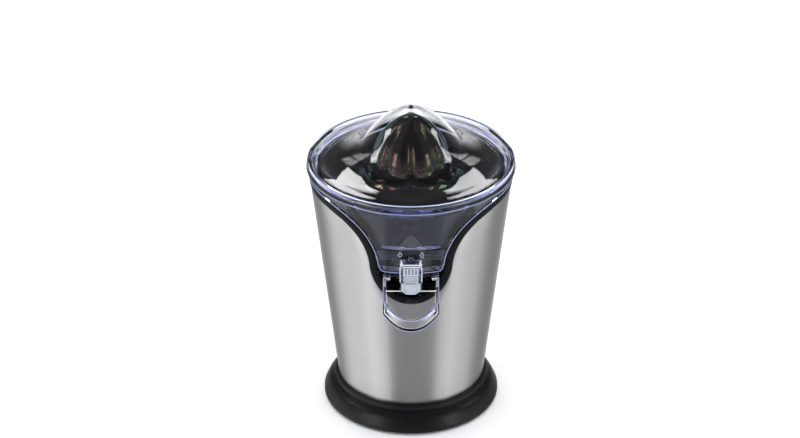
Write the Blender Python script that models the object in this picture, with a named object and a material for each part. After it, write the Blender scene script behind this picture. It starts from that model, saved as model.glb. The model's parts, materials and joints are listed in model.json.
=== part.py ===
"""Electric citrus press juicer: tapered steel body, clear bowl with a front spout, lobed cone and clear lid.

Sizes are in millimetres and MM turns them into metres.  The spindle points along +Z, the floor is z = 0 and the
spout points along -Y.  Shapes are drawn about the spindle; main() then moves the whole model so that the origin
lies under the middle of its outline, spout included.  A "front" value is a distance from the spindle along -Y.
"""
import bpy
import bmesh
from math import acos, atan2, cos, hypot, pi, radians, sin
from mathutils import Matrix, Vector

MM = 0.001
SEGMENTS = 32            # around every turned piece, so that neighbouring facets line up
GAP = 0.3                # between pieces that touch
SPINDLE_Y = 24.8         # the spindle's place behind the middle of the outline

# Tapered body
BODY_BOTTOM = 24.0
BODY_FOOT_R = 63.3
BODY_SLOPE = 0.117       # radius gained per millimetre of height
RIM_Z = 212.0            # top of the steel
TRIM_WIDTH = 6.7
STEEL_WALL = 1.0
BARREL_DEPTH = 2.2       # barrel surface below the steel surface
BARREL_WALL = 2.2

# Front cut-out: half width and height of the control points of its S-shaped edge
CUT_BOTTOM_Z = 132.0
CUT_WAIST = (34.5, 168.0)
CUT_END_X = 80.0

# Bowl well
DECK_Z = (176.0, 178.4)
PANEL_FRONT = 64.5       # face of the recessed front panel
TOWER_R = 8.2
TOWER_BORE_R = 6.4
TOWER_TOP = 200.0

# Bowl
APRON_INSET = 7.4
APRON_BOTTOM = 165.0
APRON_HALF_WIDTH = 26.6
SUMP_Z = (170.0, 172.4)
BOWL_WALL = 2.4
CHIMNEY_R = (9.0, 11.4)
CHIMNEY_TOP = 205.0

# Drive
SHAFT_R = 4.0
SHAFT_Z = (140.0, 206.0, 229.0)          # foot, start of the hexagon, top
IDLER_DISTANCE = 35.0
MOTOR_DISTANCE = 30.0
MOTOR_Y = 16.0
IDLER_ANGLE = pi / 2 + acos((IDLER_DISTANCE**2 + MOTOR_Y**2 - MOTOR_DISTANCE**2)
                            / (2 * IDLER_DISTANCE * MOTOR_Y))
IDLER_XY = (IDLER_DISTANCE * cos(IDLER_ANGLE), IDLER_DISTANCE * sin(IDLER_ANGLE))
MOTOR_XY = (0.0, MOTOR_Y)
OUTPUT_TEETH, IDLER_SMALL_TEETH = 36, 12
IDLER_TEETH, PINION_TEETH = 36, 9
PLATE_Z = (143.0, 146.0)
POST_R = 50.0
POST_ANGLES = (90, 210, 330)

# Spout and drip stop (front, height)
SPOUT_PIVOT = (81.5, 162.0)
SPOUT_TILT = radians(11)
SPOUT_HALF_WIDTH = 23.2
SPOUT_STRAIGHT = 33.0
SPOUT_NOSE = 24.0
SPOUT_WALL = 2.4
SPOUT_FLOOR = 2.0
SPOUT_DEPTH = (16.6, 9.6)                # underside below the pivot, at the root and at the nose
STOP_PIVOT = (88.0, 175.0)


# ---------------------------------------------------------------- helpers

def material(name, colour, roughness, metallic=0.0, alpha=1.0):
    """A Principled material, made once."""
    if name in bpy.data.materials:
        return bpy.data.materials[name]
    mat = bpy.data.materials.new(name)
    mat.use_nodes = True
    shader = mat.node_tree.nodes["Principled BSDF"]
    shader.inputs["Base Color"].default_value = (*colour, 1.0)
    shader.inputs["Roughness"].default_value = roughness
    shader.inputs["Metallic"].default_value = metallic
    shader.inputs["Alpha"].default_value = alpha
    return mat


def steel():
    return material("brushed_steel", (0.62, 0.62, 0.61), 0.32, 1.0)


def bright_metal():
    return material("bright_metal", (0.7, 0.7, 0.7), 0.25, 1.0)


def lamination():
    return material("lamination", (0.28, 0.28, 0.29), 0.5, 1.0)


def copper():
    return material("copper", (0.72, 0.34, 0.16), 0.4, 1.0)


def black_satin():
    return material("black_satin", (0.025, 0.025, 0.027), 0.42)


def black_gloss():
    return material("black_gloss", (0.01, 0.01, 0.012), 0.08)


def clear_plastic():
    return material("clear_plastic", (0.85, 0.88, 0.95), 0.03, 0.0, 0.25)


def grey_silicone():
    return material("grey_silicone", (0.55, 0.62, 0.66), 0.5)


def black_rubber():
    return material("black_rubber", (0.02, 0.02, 0.02), 0.8)


def gear_nylon():
    return material("gear_nylon", (0.82, 0.8, 0.74), 0.45)


def link(name, bm, mat):
    """Turn a bmesh in millimetres into a named object in metres with its faces pointing out."""
    bmesh.ops.recalc_face_normals(bm, faces=bm.faces)
    bmesh.ops.scale(bm, vec=(MM, MM, MM), verts=bm.verts)
    mesh = bpy.data.meshes.new(name)
    bm.to_mesh(mesh)
    bm.free()
    mesh.materials.append(mat)
    obj = bpy.data.objects.new(name, mesh)
    bpy.context.collection.objects.link(obj)
    smooth(obj)
    return obj


def smooth(obj):
    obj.data.shade_smooth()
    obj.data.set_sharp_from_angle(angle=radians(32))


def rings_to_solid(rings):
    """Skin a closed loop of rings. A ring is a list of points; a ring of one point closes to the axis."""
    bm = bmesh.new()
    made = [[bm.verts.new(p) for p in ring] for ring in rings]
    pairs = list(zip(made, made[1:]))
    if len(rings[0]) > 1 and len(rings[-1]) > 1:
        pairs.append((made[-1], made[0]))
    for lower, upper in pairs:
        count = max(len(lower), len(upper))
        for i in range(count):
            j = (i + 1) % count
            if len(lower) == 1:
                bm.faces.new((lower[0], upper[i], upper[j]))
            elif len(upper) == 1:
                bm.faces.new((lower[i], lower[j], upper[0]))
            else:
                bm.faces.new((lower[i], lower[j], upper[j], upper[i]))
    return bm


def turned(profile, centre=(0.0, 0.0), segments=SEGMENTS, phase=0.0):
    """Turn an outline of (radius, z) about a vertical axis. A radius of 0 lies on the axis."""
    rings = []
    for r, z in profile:
        if r == 0:
            rings.append([(centre[0], centre[1], z)])
            continue
        turns = (phase + 2 * pi * i / segments for i in range(segments))
        rings.append([(centre[0] + r * cos(a), centre[1] + r * sin(a), z) for a in turns])
    return rings_to_solid(rings)


def disc(radius, z0, z1, centre=(0.0, 0.0), segments=16):
    return turned([(0, z0), (radius, z0), (radius, z1), (0, z1)], centre, segments)


def ring(inner, outer, z0, z1, centre=(0.0, 0.0), segments=16):
    return turned([(inner, z0), (outer, z0), (outer, z1), (inner, z1)], centre, segments)


def prism(outline, place, low, high):
    """Extrude a flat outline. place(u, v, w) gives the point for outline u, v at depth w."""
    bm = bmesh.new()
    near = [bm.verts.new(place(u, v, low)) for u, v in outline]
    far = [bm.verts.new(place(u, v, high)) for u, v in outline]
    bm.faces.new(near)
    bm.faces.new(far)
    count = len(outline)
    for i in range(count):
        j = (i + 1) % count
        bm.faces.new((near[i], near[j], far[j], far[i]))
    return bm


def front_view(x, z, front):
    return (x, -front, z)


def side_view(front, z, x):
    return (x, -front, z)


def plan_view(x, y, z):
    return (x, y, z)


def box(x0, x1, front0, front1, z0, z1):
    return prism([(x0, z0), (x1, z0), (x1, z1), (x0, z1)], front_view, front0, front1)


def joined(*pieces):
    """Separate closed shapes in one cutter."""
    result = pieces[0]
    for piece in pieces[1:]:
        mesh = bpy.data.meshes.new("joined")
        piece.to_mesh(mesh)
        piece.free()
        result.from_mesh(mesh)
        bpy.data.meshes.remove(mesh)
    return result


def build(name, mat, base, *steps):
    """Make an object from a base shape and Boolean steps, each ("UNION" or "DIFFERENCE" or "INTERSECT", shape)."""
    obj = link(name, base, mat)
    for number, (operation, shape) in enumerate(steps):
        tool = link(f"{name}_tool_{number}", shape, mat)
        modifier = obj.modifiers.new("cut", "BOOLEAN")
        modifier.operation = operation
        modifier.solver = "EXACT"
        modifier.object = tool
        bpy.context.view_layer.update()
        graph = bpy.context.evaluated_depsgraph_get()
        mesh = bpy.data.meshes.new_from_object(obj.evaluated_get(graph))
        obj.modifiers.clear()
        obj.data = mesh
        bpy.data.objects.remove(tool)
    mesh = obj.data
    bm = bmesh.new()
    bm.from_mesh(mesh)
    bmesh.ops.remove_doubles(bm, verts=bm.verts, dist=0.005 * MM)
    bmesh.ops.dissolve_degenerate(bm, edges=bm.edges, dist=0.002 * MM)
    bmesh.ops.triangulate(bm, faces=bm.faces)
    bm.to_mesh(mesh)
    bm.free()
    mesh.materials.clear()
    mesh.materials.append(mat)
    smooth(obj)
    return obj


def in_millimetres(obj):
    """A finished object taken back as a shape in millimetres, for the next Boolean step."""
    bm = bmesh.new()
    bm.from_mesh(obj.data)
    bmesh.ops.scale(bm, vec=(1 / MM,) * 3, verts=bm.verts)
    bpy.data.objects.remove(obj)
    return bm


def set_axis(obj, x, y, z):
    """Move an object's origin onto its joint's axis without moving its shape."""
    at = Vector((x, y, z)) * MM
    obj.data.transform(Matrix.Translation(-at))
    obj.location = at
    return obj


# ---------------------------------------------------------------- shapes shared by several pieces

def body_radius(z):
    return BODY_FOOT_R + BODY_SLOPE * (z - BODY_BOTTOM)


def taper(depth, z0, z1):
    """Solid of the body's taper, its surface lying depth below the steel surface."""
    return turned([(0, z0), (body_radius(z0) - depth, z0), (body_radius(z1) - depth, z1), (0, z1)])


def taper_shell(outer, inner, z0, z1):
    return turned([(body_radius(z0) - inner, z0), (body_radius(z0) - outer, z0),
                   (body_radius(z1) - outer, z1), (body_radius(z1) - inner, z1)])


def bezier(p0, p1, p2, p3, steps):
    """Points and unit normals of a cubic curve, without its first point."""
    out = []
    for i in range(1, steps + 1):
        t = i / steps
        s = 1 - t
        weights = (s**3, 3 * s * s * t, 3 * s * t * t, t**3)
        slopes = (-3 * s * s, 3 * s * s - 6 * s * t, 6 * s * t - 3 * t * t, 3 * t * t)
        point = [sum(w * p[k] for w, p in zip(weights, (p0, p1, p2, p3))) for k in (0, 1)]
        slope = [sum(w * p[k] for w, p in zip(slopes, (p0, p1, p2, p3))) for k in (0, 1)]
        length = hypot(*slope)
        out.append((point, (-slope[1] / length, slope[0] / length)))
    return out


def cut_edge(inset):
    """Right half of the cut-out's S-shaped edge from its lowest point out to the rim, moved up and in."""
    waist_x, waist_z = CUT_WAIST
    lower = bezier((0, CUT_BOTTOM_Z), (20, CUT_BOTTOM_Z), (33, 150), CUT_WAIST, 6)
    upper = bezier(CUT_WAIST, (waist_x + 2, waist_z + 25), (53, RIM_Z), (CUT_END_X, RIM_Z), 8)
    points = [((0, CUT_BOTTOM_Z), (0, 1))] + lower + upper
    return [(p[0] + n[0] * inset, p[1] + n[1] * inset) for p, n in points]


def above_cut(inset, top=260.0, reach=110.0):
    """Outline of everything above the S-shaped edge."""
    right = cut_edge(inset)
    left = [(-x, z) for x, z in reversed(right[1:])]
    end = RIM_Z + inset
    return [(-reach, top), (-reach, end)] + left + right + [(reach, end), (reach, top)]


def below_cut(inset, bottom=120.0, reach=110.0):
    right = cut_edge(inset)
    left = [(-x, z) for x, z in reversed(right[1:])]
    end = RIM_Z + inset
    return [(reach, end), (reach, bottom), (-reach, bottom), (-reach, end)] + left + right


def front_prism(outline, front0=-0.5, front1=110.0):
    return prism(outline, front_view, front0, front1)


def arc(cx, cy, radius, start, end, steps):
    """Points on an arc, angles in degrees."""
    angles = (radians(start + (end - start) * i / steps) for i in range(steps + 1))
    return [(cx + radius * cos(a), cy + radius * sin(a)) for a in angles]


# ---------------------------------------------------------------- foot and body

def make_foot_ring():
    profile = [(75.4, 2.0), (75.9, 3.4), (75.8, 7.0), (74.4, 11.2), (71.2, 15.4), (66.8, 18.3), (65.7, 19.3),
               (66.9, 20.3), (66.9, 23.4), (65.4, 24.9), (63.9, 24.9), (63.7, 18.0), (58.0, 18.0), (58.0, 15.4),
               (64.6, 15.4), (70.2, 11.2), (72.6, 6.0), (72.6, 2.0)]
    holes = joined(*(disc(1.9, 14.0, 19.0, xy, 8) for xy in screw_places()))
    cord_hole = prism(arc(0, 10.0, 5.0, 0, 330, 11), front_view, -80, -60)
    return build("foot_ring", black_satin(), turned(profile), ("DIFFERENCE", holes), ("DIFFERENCE", cord_hole))


def screw_places():
    return [(61.0 * cos(radians(a)), 61.0 * sin(radians(a))) for a in (61.875, 118.125, 241.875, 298.125)]


def feet_places():
    return [(60.0 * cos(radians(a)), 60.0 * sin(radians(a))) for a in (45, 135, 225, 315)]


def make_base_plate():
    base = disc(72.2, 2.4, 5.0, segments=SEGMENTS)
    holes = [disc(1.9, 1.0, 6.0, xy, 8) for xy in screw_places()]
    holes += [disc(2.2, 1.0, 6.0, xy, 8) for xy in feet_places()]
    vents = []
    for row in range(-1, 2):
        y = 12.0 * row
        vents.append(box(-20, 20, y - 1.5, y + 1.5, 1, 6))
    return build("base_plate", black_satin(), base, ("DIFFERENCE", joined(*holes, *vents)))


def make_feet_and_base_screws():
    for number, xy in enumerate(feet_places(), 1):
        foot = [(0, 0), (6.2, 0), (6.8, 0.6), (6.8, 2.1), (1.8, 2.1), (1.8, 6.0), (0, 6.0)]
        link(f"rubber_foot_{number}", turned(foot, xy, 10), black_rubber())
    for number, xy in enumerate(screw_places(), 1):
        screw = [(0, 0.9), (3.0, 0.9), (3.3, 1.4), (3.3, 2.1), (1.6, 2.1), (1.6, 17.6), (0, 17.6)]
        link(f"base_screw_{number}", turned(screw, xy, 8), bright_metal())


def make_steel_shell():
    shell = taper_shell(0.0, STEEL_WALL, 20.0, RIM_Z - 0.05)
    build("steel_shell", steel(), shell, ("DIFFERENCE", front_prism(above_cut(0.0))))


def make_rim_trim():
    band = taper_shell(-0.4, 1.8, 130.0, RIM_Z + TRIM_WIDTH + GAP)
    below_back = box(-110, 110, -110, 0, 120, RIM_Z + GAP)
    build("rim_trim", black_satin(), band,
          ("DIFFERENCE", below_back),
          ("DIFFERENCE", front_prism(below_cut(GAP))),
          ("DIFFERENCE", front_prism(above_cut(TRIM_WIDTH, 240.0))))


def make_inner_housing():
    """Barrel inside the steel, deck under the bowl, drive tower, recessed front panel and gearbox posts."""
    bottom, top = 18.4, 218.0
    depth, wall = BARREL_DEPTH, BARREL_WALL
    profile = [(body_radius(bottom) - depth, bottom), (body_radius(top) - depth, top),
               (body_radius(top) - depth - wall, top), (body_radius(DECK_Z[1]) - depth - wall, DECK_Z[1]),
               (TOWER_R, DECK_Z[1]), (TOWER_R, TOWER_TOP), (TOWER_BORE_R, TOWER_TOP), (TOWER_BORE_R, DECK_Z[0]),
               (body_radius(DECK_Z[0]) - depth - wall, DECK_Z[0]), (body_radius(bottom) - depth - wall, bottom)]
    recess = front_prism(above_cut(TRIM_WIDTH - 2.0, DECK_Z[1] - 0.4), PANEL_FRONT - 2.5, 100)
    inside = taper(depth + 0.7, 120, DECK_Z[1] + 1)
    opening = front_prism(above_cut(TRIM_WIDTH + 0.2), PANEL_FRONT, 110)
    over_deck = [(x, z) for x, z in cut_edge(TRIM_WIDTH + 0.2) if z > DECK_Z[1] + 3]
    over_deck = [(-110, 260)] + [(-x, z) for x, z in reversed(over_deck)] + over_deck + [(110, 260)]
    posts = [disc(4.0, PLATE_Z[1] + GAP, DECK_Z[0] + 1, (POST_R * cos(radians(a)), POST_R * sin(radians(a))), 12)
             for a in POST_ANGLES]
    posts.append(disc(4.5, 169.5, DECK_Z[0] + 1, IDLER_XY, 12))
    bores = [disc(1.9, 140, 157, (POST_R * cos(radians(a)), POST_R * sin(radians(a))), 10) for a in POST_ANGLES]
    bores.append(disc(2.3, 168, 174, IDLER_XY, 12))
    liner = in_millimetres(build("recess_liner", black_satin(), recess, ("INTERSECT", inside)))
    build("inner_housing", black_satin(), turned(profile),
          ("UNION", liner), ("UNION", joined(*posts)), ("DIFFERENCE", joined(*bores)),
          ("DIFFERENCE", opening), ("DIFFERENCE", front_prism(over_deck, 20, 110)))


def make_cord_gland():
    """Rubber sleeve in the back of the foot, where a supply lead would enter."""
    profile = [(3.0, -66.0), (3.0, -78.5), (4.6, -78.5), (4.6, -66.0)]
    rings = [[(r * cos(a), -front, 10.0 + r * sin(a)) for a in (2 * pi * i / 16 for i in range(16))]
             for r, front in profile]
    link("cord_gland", rings_to_solid(rings), black_rubber())


def make_terminal_block():
    build("terminal_block", gear_nylon(), box(-16, 16, -50, -38, 5.4, 16.0),
          ("DIFFERENCE", joined(*(disc(2.0, 9, 17, (x, 44.0), 10) for x in (-10, 0, 10)))))


# ---------------------------------------------------------------- drive

def gear_outline(teeth, module, turn=0.0):
    """Teeth with sloping flanks, thinned a little so that a pair runs without touching."""
    pitch = module * teeth / 2
    tip, root = pitch + 0.8 * module, pitch - 1.15 * module
    points = []
    for i in range(teeth):
        middle = turn + 2 * pi * i / teeth
        for r, half in ((root, 0.36), (tip, 0.1), (tip, -0.1), (root, -0.36)):
            a = middle - half * 2 * pi / teeth
            points.append((r * cos(a), r * sin(a)))
    return points


def gear(teeth, module, turn, centre, z0, z1):
    outline = [(x + centre[0], y + centre[1]) for x, y in gear_outline(teeth, module, turn)]
    return prism(outline, plan_view, z0, z1)


def make_gears():
    big_module = 2 * IDLER_DISTANCE / (OUTPUT_TEETH + IDLER_SMALL_TEETH)
    small_module = 2 * MOTOR_DISTANCE / (IDLER_TEETH + PINION_TEETH)
    to_output = IDLER_ANGLE + pi
    to_pinion = atan2(MOTOR_XY[1] - IDLER_XY[1], MOTOR_XY[0] - IDLER_XY[0])
    build("output_gear", gear_nylon(), gear(OUTPUT_TEETH, big_module, IDLER_ANGLE, (0, 0), 160.0, 168.0),
          ("UNION", disc(7.5, 148.6, 168.3)), ("DIFFERENCE", disc(SHAFT_R + GAP, 147, 170, segments=12)))
    small = gear(IDLER_SMALL_TEETH, big_module, to_output + pi / IDLER_SMALL_TEETH, IDLER_XY, 157.0, 168.0)
    idler = build("idler_gear", gear_nylon(), gear(IDLER_TEETH, small_module, to_pinion, IDLER_XY, 149.6, 157.6),
                  ("UNION", small), ("DIFFERENCE", disc(2.3, 148, 170, IDLER_XY, 12)))
    set_axis(idler, *IDLER_XY, 149.6)
    pinion = build("motor_pinion", bright_metal(),
                   gear(PINION_TEETH, small_module, to_pinion + pi + pi / PINION_TEETH, MOTOR_XY, 149.2, 158.0),
                   ("DIFFERENCE", disc(2.8, 148, 160, MOTOR_XY, 12)))
    set_axis(pinion, *MOTOR_XY, 149.2)
    link("idler_pin", disc(2.0, 144.3, 173.5, IDLER_XY, 12), bright_metal())


def make_drive_shaft():
    foot, hex_start, top = SHAFT_Z
    n = 12
    circle = [(SHAFT_R * cos(2 * pi * i / n), SHAFT_R * sin(2 * pi * i / n)) for i in range(n)]
    hexagon = [hex_point(3.9, 2 * pi * i / n) for i in range(n)]
    rings = [[(0, 0, foot)], [(0.8 * x, 0.8 * y, foot) for x, y in circle], [(x, y, foot + 1) for x, y in circle],
             [(x, y, hex_start) for x, y in circle], [(x, y, hex_start + 0.4) for x, y in hexagon],
             [(x, y, top) for x, y in hexagon], [(0, 0, top)]]
    link("drive_shaft", rings_to_solid(rings), bright_metal())
    link("shaft_clip", ring(4.3, 5.9, 185.7, 186.9), bright_metal())
    link("spring_washer", ring(4.3, 5.9, 184.3, 185.3), bright_metal())
    link("lower_bush", turned([(4.3, 141.4), (6.1, 141.4), (6.1, 146.3), (7.4, 146.3), (7.4, 148.0), (4.3, 148.0)],
                              segments=16), copper())
    link("upper_bush", ring(4.3, 6.1, 189.0, 199.5), copper())
    link("shaft_seal", ring(4.3, 8.0, 200.4, 202.6), black_rubber())


def hex_point(radius, angle):
    """Point on a hexagon of the given corner radius."""
    sector = (angle % (pi / 3)) - pi / 6
    r = radius * cos(pi / 6) / cos(sector)
    return (r * cos(angle), r * sin(angle))


def make_return_spring():
    turns, wire, mean_r, bottom, top = 4, 0.6, 5.15, 168.9, 184.0
    steps, sides = 9, 4
    count = turns * steps
    rise = (top - bottom - 2 * wire) / count
    rings = []
    for i in range(count + 1):
        a = 2 * pi * i / steps
        z = bottom + wire + rise * i
        rings.append([((mean_r + wire * cos(b)) * cos(a), (mean_r + wire * cos(b)) * sin(a), z + wire * sin(b))
                      for b in (2 * pi * k / sides for k in range(sides))])
    start = tuple(sum(p[k] for p in rings[0]) / sides for k in range(3))
    end = tuple(sum(p[k] for p in rings[-1]) / sides for k in range(3))
    link("return_spring", rings_to_solid([[start]] + rings + [[end]]), bright_metal())


def make_gearbox_plate():
    low, high = PLATE_Z
    places = [(POST_R * cos(radians(a)), POST_R * sin(radians(a))) for a in POST_ANGLES]
    columns = [disc(4.5, 126.9, low + 1, (x, MOTOR_Y), 12) for x in (-26, 26)]
    holes = [disc(6.4, 140, 148), disc(5.0, 140, 148, MOTOR_XY), disc(2.3, 144, 148, IDLER_XY, 12)]
    holes += [disc(1.9, 140, 148, xy, 10) for xy in places]
    holes += [disc(2.2, 120, 148, (x, MOTOR_Y), 10) for x in (-26, 26)]
    build("gearbox_plate", bright_metal(), disc(56.0, low, high, segments=32),
          ("UNION", joined(*columns)), ("DIFFERENCE", joined(*holes)))
    for number, xy in enumerate(places, 1):
        screw = [(0, 140.6), (3.4, 140.6), (3.4, 142.7), (1.6, 142.7), (1.6, 155), (0, 155)]
        link(f"gearbox_screw_{number}", turned(screw, xy, 10), bright_metal())


def make_motor():
    """Open-frame motor hung under the gearbox plate on two long screws."""
    half, low, high = 30.0, 92.0, 116.0
    corner = 6.0
    outline = []
    for cx, cy, start in ((half - corner, half - corner, 0), (corner - half, half - corner, 90),
                          (corner - half, corner - half, 180), (half - corner, corner - half, 270)):
        outline += [(x, y + MOTOR_Y) for x, y in arc(cx, cy, corner, start, start + 90, 3)]
    holes = [disc(14.0, 90, 118, MOTOR_XY, 16)] + [disc(2.2, 90, 118, (x, MOTOR_Y), 10) for x in (-26, 26)]
    build("stator_stack", lamination(), prism(outline, plan_view, low, high), ("DIFFERENCE", joined(*holes)))
    link("coil_upper", turned([(15.5, 116.4), (22.6, 116.4), (23.0, 120.5), (20.5, 123.2), (16.5, 123.0)],
                              MOTOR_XY, 16), copper())
    link("coil_lower", turned([(16.5, 85.0), (20.5, 84.8), (23.0, 87.5), (22.6, 91.6), (15.5, 91.6)],
                              MOTOR_XY, 16), copper())
    for name, z0 in (("motor_bracket_top", 124.0), ("motor_bracket_bottom", 81.0)):
        bar = box(-31, 31, -MOTOR_Y - 9, -MOTOR_Y + 9, z0, z0 + 2.6)
        cuts = [disc(5.3, z0 - 1, z0 + 4, MOTOR_XY)]
        cuts += [disc(2.2, z0 - 1, z0 + 4, (x, MOTOR_Y), 10) for x in (-26, 26)]
        build(name, bright_metal(), bar, ("DIFFERENCE", joined(*cuts)))
        end = "top" if z0 > 100 else "bottom"
        link(f"motor_bearing_{end}", ring(2.8, 5.0, z0, z0 + 2.6, MOTOR_XY, 16), copper())
    rotor = [(0, 76), (2.5, 76), (2.5, 93.5), (13.2, 93.5), (13.2, 114.5), (2.5, 114.5), (2.5, 158.6), (0, 158.6)]
    set_axis(link("rotor", turned(rotor, MOTOR_XY, 16), lamination()), *MOTOR_XY, 76)
    for side, x in (("left", -26), ("right", 26)):
        screw = [(0, 78.4), (3.4, 78.4), (3.4, 80.7), (1.8, 80.7), (1.8, 145.5), (0, 145.5)]
        link(f"motor_screw_{side}", turned(screw, (x, MOTOR_Y), 10), bright_metal())
    blades = []
    for i in range(6):
        turn = Matrix.Translation((0, MOTOR_Y, 0)) @ Matrix.Rotation(2 * pi * i / 6, 4, "Z")
        blade = box(3.5, 21, -0.8, 0.8, 67.0, 74.6)
        bmesh.ops.transform(blade, matrix=turn, verts=blade.verts)
        blades.append(blade)
    fan = build("cooling_fan", gear_nylon(), disc(5.0, 66.5, 75.2, MOTOR_XY, 18), ("UNION", joined(*blades)))
    set_axis(fan, *MOTOR_XY, 66.5)


def make_switch():
    """Snap switch beside the shaft's foot: a nib on its lever lies under the shaft."""
    body = prism([(8, 124), (33, 124), (33, 142.7), (29.5, 142.7), (29.5, 133.5), (8, 133.5)], front_view, -5, 5)
    build("switch_body", black_satin(), body, ("UNION", disc(1.2, 133, 136.0, (19.5, 0), 10)))
    outline = [(-2.6, 137.0), (28.4, 137.0), (28.4, 138.2), (1.9, 138.2), (1.2, 139.6), (-1.2, 139.6), (-2.6, 138.2)]
    lever = link("switch_lever", prism(outline, front_view, -2.5, 2.5), bright_metal())
    set_axis(lever, 27.0, 0.0, 137.6)


# ---------------------------------------------------------------- bowl and spout

def apron_outline(inset, bottom, half_width, corner, top):
    """The S-shaped edge closed below by a flat bottom edge with rounded corners."""
    side = [p for p in cut_edge(inset) if p[1] > bottom + corner + 2 and p[1] < top]
    right = arc(half_width - corner, bottom + corner, corner, 270, 360, 4) + side
    edge_end = (cut_edge(inset)[-1][0], top)
    right.append(edge_end)
    return [(-x, z) for x, z in reversed(right)] + right


def make_juice_bowl():
    outside = [(0, 185.6), (9.0, 185.6), (70.8, 182.6), (73.6, 184.6), (75.8, 188.5), (79.8, 216.0), (80.6, 218.8),
               (82.6, 221.0), (87.0, 224.6), (88.3, 225.0), (88.5, 226.0), (87.6, 230.6), (86.6, 232.0), (0, 232.0)]
    inside = [(0, CHIMNEY_TOP), (CHIMNEY_R[1], CHIMNEY_TOP), (CHIMNEY_R[1], 189.5), (14.0, 188.0), (70.2, 185.0),
              (72.6, 186.8), (73.5, 189.5), (75.6, 215.5), (76.0, 217.6), (77.6, 218.2), (78.6, 222.5),
              (80.9, 226.4), (84.5, 227.2), (84.5, 236.0), (0, 236.0)]
    behind = 0.25            # the pocket's walls lie this much inside the apron plate's edges
    pocket = build("pocket", clear_plastic(),
                   front_prism(apron_outline(APRON_INSET + behind, SUMP_Z[0], APRON_HALF_WIDTH - behind, 3.0, 224.5),
                               65.5, 100),
                   ("INTERSECT", taper(0.1 + behind, 160, 240)))
    apron = build("apron", clear_plastic(),
                  front_prism(apron_outline(APRON_INSET, APRON_BOTTOM, APRON_HALF_WIDTH, 4.5, 223.5), 40, 100),
                  ("INTERSECT", taper_shell(0.1, BOWL_WALL - 0.1, 160, 240)))
    hollow = build("hollow", clear_plastic(),
                   front_prism(apron_outline(APRON_INSET + BOWL_WALL, SUMP_Z[1], APRON_HALF_WIDTH - BOWL_WALL,
                                             2.0, 221.0), 65.5 + BOWL_WALL, 100),
                   ("INTERSECT", taper(0.1 + BOWL_WALL, 160, 240)))
    build("juice_bowl", clear_plastic(), turned(outside),
          ("UNION", in_millimetres(pocket)), ("UNION", in_millimetres(apron)),
          ("DIFFERENCE", turned(inside)), ("DIFFERENCE", in_millimetres(hollow)),
          ("DIFFERENCE", disc(CHIMNEY_R[0], 180, 210, segments=SEGMENTS)),
          ("DIFFERENCE", box(-6.6, 6.6, 70.6, 75.8, 168, 174)),
          ("DIFFERENCE", box(-9.7, 9.7, 74.5, 84, 163, SUMP_Z[0] - 0.1)))


def make_outlet_housing():
    """Clear nozzle block under the bowl's sump: duct, cross bar, spout lugs and the drip stop's cheeks."""
    duct = box(-9.2, 9.2, 68.4, 84.5, 151.0, 169.6)
    bar = box(-22.6, 22.6, 68.4, 73.0, 163.4, 169.2)
    front, height = SPOUT_PIVOT
    lugs = []
    for x0 in (-20.4, 17.4):
        outline = [(68.6, 168.5), (68.6, 160.0), (72.0, 158.9)] + arc(front, height, 2.9, 260, 410, 6)
        outline += [(79.0, 164.5), (72.8, 164.5), (72.8, 168.5)]
        lugs.append(prism(outline, side_view, x0, x0 + 3.0))
    cheeks = []
    for x0 in (-9.2, 6.9):
        outline = [(84.0, 163.0), (88.5, 163.0), (91.0, 165.5)] + arc(88.0, 176.5, 3.2, 0, 90, 4)
        outline += [(82.2, 179.7), (81.2, 171.0), (80.6, 165.0)]
        cheeks.append(prism(outline, side_view, x0, x0 + 2.3))
    bridge = box(-8.0, 8.0, 82.2, 84.2, 172.0, 179.6)
    knob = prism(arc(0, 180.6, 2.2, 0, 330, 11), front_view, 82.3, 84.5)
    build("outlet_housing", clear_plastic(), duct,
          ("UNION", bar), ("UNION", joined(*lugs)), ("UNION", joined(*cheeks)), ("UNION", bridge), ("UNION", knob),
          ("DIFFERENCE", box(-6.6, 6.6, 70.6, 82.0, 153.2, 171.0)),
          ("DIFFERENCE", box(-5.4, 5.4, 80.0, 86.0, 153.4, 160.6)),
          ("DIFFERENCE", box(-6.6, 6.6, 75.8, 82.1, 167.0, 171.0)),
          ("DIFFERENCE", prism(arc(*STOP_PIVOT, 1.7, 0, 330, 11), side_view, -12, 12)),
          ("DIFFERENCE", prism(arc(front, height, 1.7, 0, 330, 11), side_view, -24, 24)))
    pin = rod_along_x(1.4, -9.9, 9.9, *STOP_PIVOT)
    link("stop_pin", pin, bright_metal())


def rod_along_x(radius, x0, x1, front, z, sides=12):
    return prism(arc(front, z, radius, 0, 360 - 360 / sides, sides - 1), side_view, x0, x1)


def make_drip_stop():
    """Ribbed lever hanging in front of the outlet with a silicone pad at its foot."""
    front, height = STOP_PIVOT
    outline = arc(front, height, 3.0, 0, 180, 6) + [(85.2, 171.5), (87.3, 170.5), (87.3, 160.9), (90.6, 160.9),
                                                   (91.0, 165.0)]
    lever = prism(outline, side_view, -6.5, 6.5)
    ribs = [box(-6.5, 6.5, 90.0, 91.4, z, z + 1.0) for z in (161.6, 163.8, 166.0, 168.2)]
    obj = build("drip_lever", clear_plastic(), lever, ("UNION", joined(*ribs)),
                ("DIFFERENCE", rod_along_x(1.7, -8, 8, front, height)))
    set_axis(obj, 0, -front, height)
    pad = [(-8.0, 160.5), (-8.0, 154.6)] + arc(0, 155.4, 8.0, 200, 340, 8)
    pad = [(x, max(z, 150.2)) for x, z in pad] + [(8.0, 154.6), (8.0, 160.5)]
    obj = link("drip_seal", prism(pad, front_view, 87.7, 90.3), grey_silicone())
    set_axis(obj, 0, -front, height)


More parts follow.
